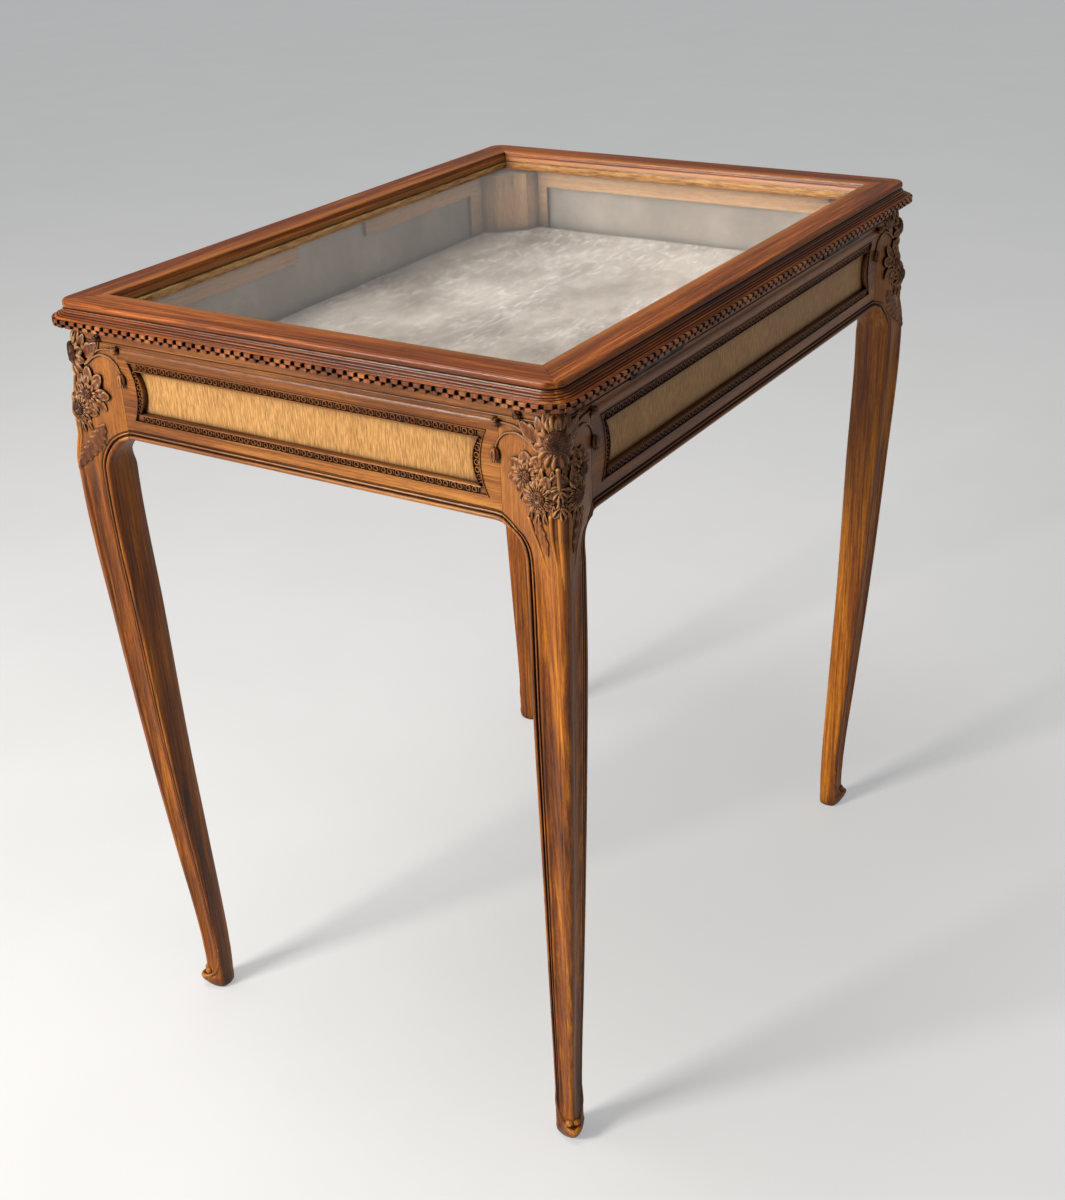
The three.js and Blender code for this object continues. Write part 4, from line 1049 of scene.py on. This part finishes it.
def bouquet(name, signs, rng):
    """Flowers, leaves and buds carved on one knee, the darker hearts of the flowers and the long stems."""
    stock, hearts, stems = Stock(), Stock(), Stock()
    for side in (1, -1):
        face_flowers(stock, hearts, stems, side, rng, side in LEAFY[name])
    for tip in ((ARRIS, 688.5), (ARRIS, 734.0)):
        crown_petal(stock, 1, tip, 9.8, 3.9)
    ring_of_petals(stock, 1, CROWN, 12.4, 22, 2.8, 5.4, rng, root=0.6, thick=0.9, rise=0.1, fall=-0.9)
    heart(hearts, 1, CROWN, 9.6, 5.6, 2.6, 150, rng)
    stem(stock, 1, ((ARRIS, 692), (ARRIS, 684), (ARRIS, 672)), 1.9, taper=0.8, lift=1.2)
    for across, z, root, width, thick in ARRIS_LEAVES:
        blade(stock, 1, (ARRIS, root), (ARRIS + across, z), width, 3.4, thick)
    stem(stems, 1, ((ARRIS, 660), (ARRIS, 640), (ARRIS, 615), (ARRIS, 585)), 3.0, taper=0.8, lift=-0.2, sink=2.9)
    for part, gathered, material in (
        ("carved_flowers_", stock, CARVED), ("flower_hearts_", hearts, HEARTWOOD), ("long_stems_", stems, LEG_WALNUT),
    ):
        gathered.in_corner(signs).make(part + name, material, sharp=60)


for order, (corner, signs) in enumerate(CORNERS.items()):
    bouquet(corner, signs, random.Random(SEED + order))


# Frames that run round the table: each member ends in a mitre

CORNER_STEPS = 10


def outline_run(half_along, half_out, radius, inset):
    """Points at one inset along half of each corner and the side between."""
    round_ = max(radius - inset, 0.0)
    cx, cy = half_along - inset - round_, half_out - inset - round_
    angles = np.linspace(math.pi / 4, math.pi / 2, CORNER_STEPS + 1)
    first = np.stack([cx + round_ * np.cos(angles), cy + round_ * np.sin(angles)], axis=1)
    return np.concatenate([first, first[::-1] * (-1, 1)])


def member(section, half_along, half_out, radius):
    """One member of a frame: a section of (inset, height) points, cut at 45 degrees at its ends."""
    runs = [outline_run(half_along, half_out, radius, inset) for inset, _ in section]
    rings = np.zeros((len(runs[0]), len(section), 3))
    for j, (run, (_, z)) in enumerate(zip(runs, section)):
        rings[:, j, :2] = run
        rings[:, j, 2] = z
    for side in (1, -1):
        across = (half_along - side * rings[..., 0] - (half_out - rings[..., 1])) / math.sqrt(2)
        short = np.maximum(SEAT_GAP / 2 - across, 0) * (side * rings[..., 0] > 0)
        rings[..., 0] -= side * short * math.sqrt(2)
    return clean(*loft(rings))


def halves(name):
    long_side = name in ("back", "front")
    return (LID_LENGTH / 2, LID_WIDTH / 2) if long_side else (LID_WIDTH / 2, LID_LENGTH / 2)


LID_RADIUS = 26.5
LID_ARC = LID_RADIUS * math.pi / 4
BOLT_GAP, BOLT_THROW = 0.4, 5.0
OPEN_EDGE = 42.7
LIP = 5.0
GLASS_BOTTOM, GLASS_TOP = (corner.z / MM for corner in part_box("glass_pane"))
DENTIL_BOTTOM = LID_BOTTOM + 1.5
DENTIL_HEIGHT = 3.2
DENTIL_PITCH = 10.4
DENTIL_SHARE = 0.31
DENTIL_TOP = DENTIL_BOTTOM + 2 * DENTIL_HEIGHT
DENTIL_BACK = 3.1
# Depth of a dentil's rings from the lid's edge, and how much each is drawn in
DENTIL_RINGS = ((DENTIL_BACK + 0.6, 0.0), (0.5, 0.0), (0.0, 0.45))
REEDS, REED_STEPS = 4, 6
BEAD_WIDTH = 8.0
bead_shape = smooth_curve((0, 0), (0.4, 0.05), (0.75, 0.3), (0.94, 0.7), (1, 1))


def lid_section():
    top, inner, lip = TABLE_TOP, OPEN_EDGE - SEAT_GAP, OPEN_EDGE + LIP
    points = [(OPEN_EDGE + 0.5, top - 0.2), (OPEN_EDGE, top), (30.0, top), (15.0, top - 0.05)]
    points += arc((13.4, top - 2.6), 2.55, 90, 180, 5)
    points += [(10.6, top - 4.6), (11.0, top - 5.4), (12.4, top - 5.9), (12.5, top - 6.6)]
    points += [(11.6, top - 6.9), (11.3, top - 7.6)]
    start, end = np.array([11.2, top - 8.0]), np.array([3.4, top - 13.4])
    down = unit(end - start)
    out = np.array([down[1], -down[0]])
    for i in range(REEDS * REED_STEPS):
        t = i / (REEDS * REED_STEPS)
        swell = 0.95 * abs(math.sin(math.pi * (i % REED_STEPS) / REED_STEPS)) ** 0.7
        points.append(tuple(start + (end - start) * t + out * (swell - 1.5 * math.sin(math.pi * t))))
    points += [(3.0, top - 13.5), (2.7, DENTIL_TOP + 0.2), (DENTIL_BACK, DENTIL_TOP)]
    points += [(DENTIL_BACK, DENTIL_BOTTOM), (5.0, DENTIL_BOTTOM - 0.1), (5.2, LID_BOTTOM)]
    points += [(inner, LID_BOTTOM), (inner, GLASS_TOP + SEAT_GAP), (lip, GLASS_TOP + SEAT_GAP), (lip, top - 8.7)]
    points += arc((lip - 0.1, top - 3.0), 2.6, 250, 180, 4)
    return points + [(OPEN_EDGE + 1.9, top - 2.7), (OPEN_EDGE + 1.5, top - 1.0)]


def edge_point(half_along, half_out, run, inset):
    """A point on the lid's outline, a way along one member from its first mitre."""
    cx, cy = half_along - LID_RADIUS, half_out - LID_RADIUS
    reach = LID_RADIUS - inset
    straight = min(max(run - LID_ARC, 0), 2 * cx)
    angle = math.pi / 4 + (run - straight) / LID_RADIUS
    return cx - straight + reach * math.cos(angle), cy + reach * math.sin(angle)


def dentils(half_along, half_out):
    """Two staggered rows of small blocks along the edge of one lid member."""
    stock = Stock()
    length = 2 * (half_along - LID_RADIUS + LID_ARC)
    count = round(length / DENTIL_PITCH)
    pitch = length / count
    for row in (0, 1):
        bottom = DENTIL_BOTTOM + row * DENTIL_HEIGHT
        for i in range(count):
            middle = (i + (3 - 2 * row) / 4) * pitch
            rings = []
            for depth, shrink in DENTIL_RINGS:
                left, right = middle - DENTIL_SHARE * pitch + shrink, middle + DENTIL_SHARE * pitch - shrink
                low, high = bottom + shrink * 0.8, bottom + DENTIL_HEIGHT - shrink * 0.8
                plan = ((left, low), (right, low), (right, high), (left, high))
                rings.append([(*edge_point(half_along, half_out, run, depth), z) for run, z in plan])
            stock.add(*loft(rings))
    return stock


def grain_of(name):
    return "x" if name in ("back", "front") else "y"


def lid(name, turn):
    """One side of the lid: its moulded rail, its dentils and the gilt bead under the glass."""
    half = halves(name)
    rail = Stock().add(*member(lid_section(), *half, LID_RADIUS)).turned(turn).make(
        "moulded_lid_rail_" + name, LID_WALNUT[grain_of(name)], ["lid_rail_" + name], "lid", "dark_walnut", 34,
    )
    if name == "front":
        for around, gap in (("strike_plate", SEAT_GAP), ("lock_bolt", BOLT_GAP)):
            low, high = (np.array(corner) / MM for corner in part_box(around))
            top = high[2] + gap if around == "strike_plate" else LID_BOTTOM + BOLT_THROW + gap
            pocket(rail, (low[0] - gap, low[1] - gap, LID_BOTTOM - 1), (high[0] + gap, high[1] + gap, top))
    dentils(*half).turned(turn).make("dentil_course_" + name, DENTIL, (), "lid", "dark_walnut")
    low, high = LID_BOTTOM + SEAT_GAP, GLASS_BOTTOM - SEAT_GAP
    section = [(OPEN_EDGE, high), (OPEN_EDGE, low)]
    section += [(OPEN_EDGE + BEAD_WIDTH * t, low + (high - low) * bead_shape(t)) for t in np.linspace(0.1, 1, 9)]
    Stock().add(*member(section, *half, LID_RADIUS)).turned(turn).make(
        "gilt_bead_" + name, GILT, ["glazing_bead_" + name], "lid", "gilt",
    )


for name, (turn, _, _) in SIDES.items():
    lid(name, turn)


# Top rails and aprons

TOP_RAIL_PROUD = 1.4
TOP_RAIL_RADIUS = 9.5
BORDER_TOP = APRON_TOP - 12.5
BORDER_HEIGHT = 55.0
BORDER_BOTTOM = BORDER_TOP - BORDER_HEIGHT
BORDER_BOW = 6.5
BORDER_END = {"back": 15.0, "front": 15.0, "right": 11.0, "left": 11.0}
BORDER_LINE_STEPS = 6
FASCIA_TOP = APRON_TOP - 2.6
FASCIA_HEIGHT = 8.0
FASCIA_RISE = 1.1
BORDER_SECTION = (
    # inset from the border's outline, rise above the apron's face
    (-0.3, -0.9), (-0.1, 0.45), (0.3, 0.85), (0.75, 0.9), (1.1, 0.6), (1.25, -0.5), (1.4, -1.4), (6.5, -1.4),
    (6.65, -0.5), (6.8, 0.55), (7.15, 0.85), (7.6, 0.7), (8.2, -0.1), (8.6, -1.6), (8.9, -3.7), (8.9, -5.2),
    (-0.3, -5.2),
)
HOLE_INSET = 0.6
CHANNEL_DEPTH = 1.4
RING_INSET = 4.0
RING_PAIR = 13.5
RING_GAP = 5.9
RING_RADIUS = 2.05
RING_THICK = 0.6
LANE_END = 6.0
END_RINGS, END_STEPS = 7, 40
# Bars between the pairs of rings: depth and half width of each ring of points
BAR_RINGS = ((-0.4, 0.42), (0.9, 0.4), (1.2, 0.2))


def top_rail_section():
    low, high, back = RAIL_BOTTOM, CASE_TOP, APRON_THICKNESS + TOP_RAIL_PROUD
    points = [(back, low), (0.7, low), *arc((0.75, low + 0.9), 0.75, 250, 130, 4)]
    points += [(0.9, low + 2.0), (0.45, low + 2.5), (0.4, low + 9.4), (0.6, low + 10.0)]
    points += [(1.3, low + 10.3), (1.35, low + 10.9), (0.5, low + 11.2), (0.45, high - 0.5), (0.9, high)]
    return points + [(back, high)]


def border_loop(half, inset, steps=14):
    """The border's outline in (along, up) at an inset, from its lower left corner."""
    x, z0, z1 = half - inset, BORDER_BOTTOM + inset, BORDER_TOP - inset
    middle, half_up = (z0 + z1) / 2, (z1 - z0) / 2
    radius = (half_up**2 + BORDER_BOW**2) / (2 * BORDER_BOW)
    swing = math.degrees(math.asin(half_up / radius))
    centre = x + radius * math.cos(math.radians(swing))
    line = np.linspace(-x, x, BORDER_LINE_STEPS + 1)[:-1]
    points = [(a, z0) for a in line]
    points += arc((centre, middle), radius, 180 + swing, 180 - swing, steps)[:-1]
    points += [(-a, z1) for a in line]
    points += arc((-centre, middle), radius, swing, -swing, steps)[:-1]
    return points


def swept_edge(half, end, distance, steps=16):
    """The apron's lower edge, or a line at a distance above it, in (along, up)."""
    radius = SWEEP_RADIUS + distance
    centre = half - SWEEP_CENTRE
    start = math.degrees(math.acos(min((end - centre) / radius, 1)))
    right = arc((centre, SWEEP_BOTTOM), radius, start, 90, steps)
    return [(-x, z) for x, z in right] + right[::-1]


def ring_band(stock, half, reach):
    """Small carved rings in the border's channel, with a bar between each two pairs."""
    base = reach - CHANNEL_DEPTH
    length = 2 * (half - RING_INSET - LANE_END)
    pairs = round(length / RING_PAIR)
    heights = (BORDER_BOTTOM + RING_INSET, BORDER_TOP - RING_INSET)
    middles = (np.arange(pairs) + 0.5) * length / pairs - length / 2
    places = [(x + gap, z) for z in heights for x in middles for gap in (-RING_GAP / 2, RING_GAP / 2)]
    right = np.array(border_loop(half, RING_INSET, END_STEPS)[BORDER_LINE_STEPS:BORDER_LINE_STEPS + END_STEPS])
    run = np.concatenate([[0], np.cumsum(np.linalg.norm(np.diff(right, axis=0), axis=1))])
    for where in np.linspace(0, run[-1], END_RINGS + 2)[1:-1]:
        x, z = (np.interp(where, run, right[:, k]) for k in (0, 1))
        places += [(x, z), (-x, z)]
    circle = [[
        (math.cos(a) * (RING_RADIUS + RING_THICK * math.cos(b)), RING_THICK * 1.5 * math.sin(b) + 0.5,
         math.sin(a) * (RING_RADIUS + RING_THICK * math.cos(b))) for b in turns(6)] for a in turns(14)]
    points, faces = loft(circle, loop=True)
    for x, z in places:
        stock.add(points + (x, base, z), faces)
    for x in np.linspace(-length / 2, length / 2, pairs + 1):
        for z in heights:
            stock.add(*loft([
                [(x + sx * w, base + deep, z + sz * 2.1 * (0.6 + w)) for sx, sz in ((-1, -1), (1, -1), (1, 1), (-1, 1))]
                for deep, w in BAR_RINGS
            ]))


def fascia(end, reach):
    bottom = FASCIA_TOP - FASCIA_HEIGHT
    section = [(-3.0, bottom), (0.25, bottom), (0.3, bottom + 0.6)]
    section += [
        (0.3 + (FASCIA_RISE - 0.3) * math.sin(math.pi * t) ** 0.7, bottom + 0.6 + (FASCIA_HEIGHT - 1.2) * t)
        for t in np.linspace(0.08, 0.92, 9)
    ]
    section += [(0.3, FASCIA_TOP - 0.6), (0.25, FASCIA_TOP), (-3.0, FASCIA_TOP)]
    return loft([[(x, reach + out, z) for out, z in section] for x in np.linspace(-end, end, 3)])


def edge_moulding(half, end, reach):
    """The bead and reed along the apron's lower edge, swept into the legs."""
    section = [*EDGE_POINTS, (EDGE_WIDTH + 0.4, 0.0), (EDGE_WIDTH + 0.4, -APRON_THICKNESS), (0.0, -APRON_THICKNESS)]
    lines = [[(x, reach + rise, z) for x, z in swept_edge(half, end, distance)] for distance, rise in section]
    return loft(list(zip(*lines)))


def apron(name, turn, half, reach):
    """One side of the case: its carved apron and the rail above it."""
    end = half - LEG_STOCK - SEAT_GAP
    border_half = end - BORDER_END[name]
    outline = swept_edge(half, end, EDGE_WIDTH) + [(end, APRON_TOP), (-end, APRON_TOP)]
    stock = Stock().add(*plate(outline, border_loop(border_half, HOLE_INSET), reach, reach - APRON_THICKNESS))
    stock.add(*edge_moulding(half, end, reach)).add(*fascia(end, reach))
    rings = [[(x, reach + rise, z) for x, z in border_loop(border_half, inset)] for inset, rise in BORDER_SECTION]
    stock.add(*loft(rings, loop=True))
    ring_band(stock, border_half, reach)
    stock.turned(turn).make("carved_apron_" + name, WALNUT[grain_of(name)], ["apron_" + name])
    run = member(top_rail_section(), half + TOP_RAIL_PROUD, reach + TOP_RAIL_PROUD, TOP_RAIL_RADIUS)
    rail = Stock().add(*run).turned(turn).make(
        "moulded_top_rail_" + name, WALNUT[grain_of(name)], ["top_rail_" + name],
    )
    if name == "front":
        low, high = (np.array(corner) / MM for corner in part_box("lock_case"))
        pocket(rail, (low[0] - SEAT_GAP, low[1] - SEAT_GAP, low[2]), (high[0] + SEAT_GAP, high[1] + 1, CASE_TOP + 1))


for name, side in SIDES.items():
    apron(name, *side)


# Velvet floor pad: a covered board that fits round the corner posts

PAD_LOW, PAD_HIGH = (np.array(corner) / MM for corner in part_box("floor_pad"))
PAD_EDGE, PAD_CROWN = 2.6, 1.0
PAD_RINGS = 46
PAD_STEP = 7
PAD_NOTCH = ((0.0, 46.4), (17.0, 41.9), (41.9, 17.0), (46.4, 0.0))
# Ripples of the cloth: wavelength, level in the noise, share
RIPPLES = ((60, 3.0, 1.0), (22, 8.0, 0.5))


def pad_outline():
    """The pad's outline in plan, with a faceted notch at each corner, as many short steps."""
    points = []
    for sx, sy in ((1, 1), (-1, 1), (-1, -1), (1, -1)):
        cut = [(sx * (PAD_HIGH[0] - p), sy * (PAD_HIGH[1] - q)) for p, q in PAD_NOTCH]
        points += cut if sx * sy > 0 else cut[::-1]
    dense = []
    for a, b in zip(np.array(points), np.array(points[1:] + points[:1])):
        steps = max(int(np.linalg.norm(b - a) / PAD_STEP), 2)
        dense += [a + (b - a) * i / steps for i in range(steps)]
    return np.array(dense)


def floor_pad():
    outline = pad_outline()
    low, high = PAD_LOW[2], PAD_HIGH[2]
    inward = PAD_EDGE / np.linalg.norm(outline, axis=1)[:, None]
    inner = outline * (1 - inward)
    rings = [np.column_stack([inner, np.full(len(outline), low)])]
    for tilt in np.linspace(0, math.pi / 2, 7):
        edge = outline * (1 - inward * (1 - math.cos(tilt)))
        level = high - PAD_CROWN - PAD_EDGE * (1 - math.sin(tilt))
        rings.append(np.column_stack([edge, np.full(len(outline), level)]))
    for i in range(1, PAD_RINGS):
        spread = inner * (1 - i / PAD_RINGS)
        ripples = np.array([
            sum(share * noise.noise(Vector((x / wave, y / wave, level))) for wave, level, share in RIPPLES)
            for x, y in spread
        ])
        heights = high - PAD_CROWN + min(i / 5, 1) * (0.45 + 0.45 * ripples)
        rings.append(np.column_stack([spread, np.minimum(heights, high)]))
    stock = Stock().add(*pinched(rings, (0, 0, low), (0, 0, high - 0.5)))
    pad = stock.make("velvet_pad", VELVET, ["floor_pad"], slot="velvet", sharp=60)


floor_pad()


# Pieces carried over from the frame, each with its finish

def finish(node, material, rounding=0.0):
    """A material, and a small rounding on every sharp edge."""
    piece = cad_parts[node]
    piece.data.materials.clear()
    piece.data.materials.append(material)
    if rounding:
        edge = piece.modifiers.new("rounding", "BEVEL")
        edge.width, edge.segments = rounding * MM, 2
        edge.limit_method, edge.angle_limit = "ANGLE", math.radians(40)
        edge.harden_normals = False


for name in SIDES:
    finish("panel_" + name, VENEER)
    finish("lining_" + name, SILK)
    finish("inner_frame_" + name, PLAIN[grain_of(name)], 0.5)
    finish("floor_bearer_" + name, PLAIN[grain_of(name)], 0.6)
for corner in CORNERS:
    finish("corner_post_" + corner, PLAIN["z"], 0.4)
finish("floor_board", PLAIN["x"], 0.4)
finish("glass_pane", GLASS)
for node in ("lock_case", "lock_bolt", "strike_plate", "escutcheon"):
    finish(node, BRASS, 0.2)
for end in ("left", "right"):
    for part in ("hinge_leaf_lower_", "hinge_leaf_upper_", "hinge_pin_"):
        finish(part + end, DARK_IRON, 0.25)
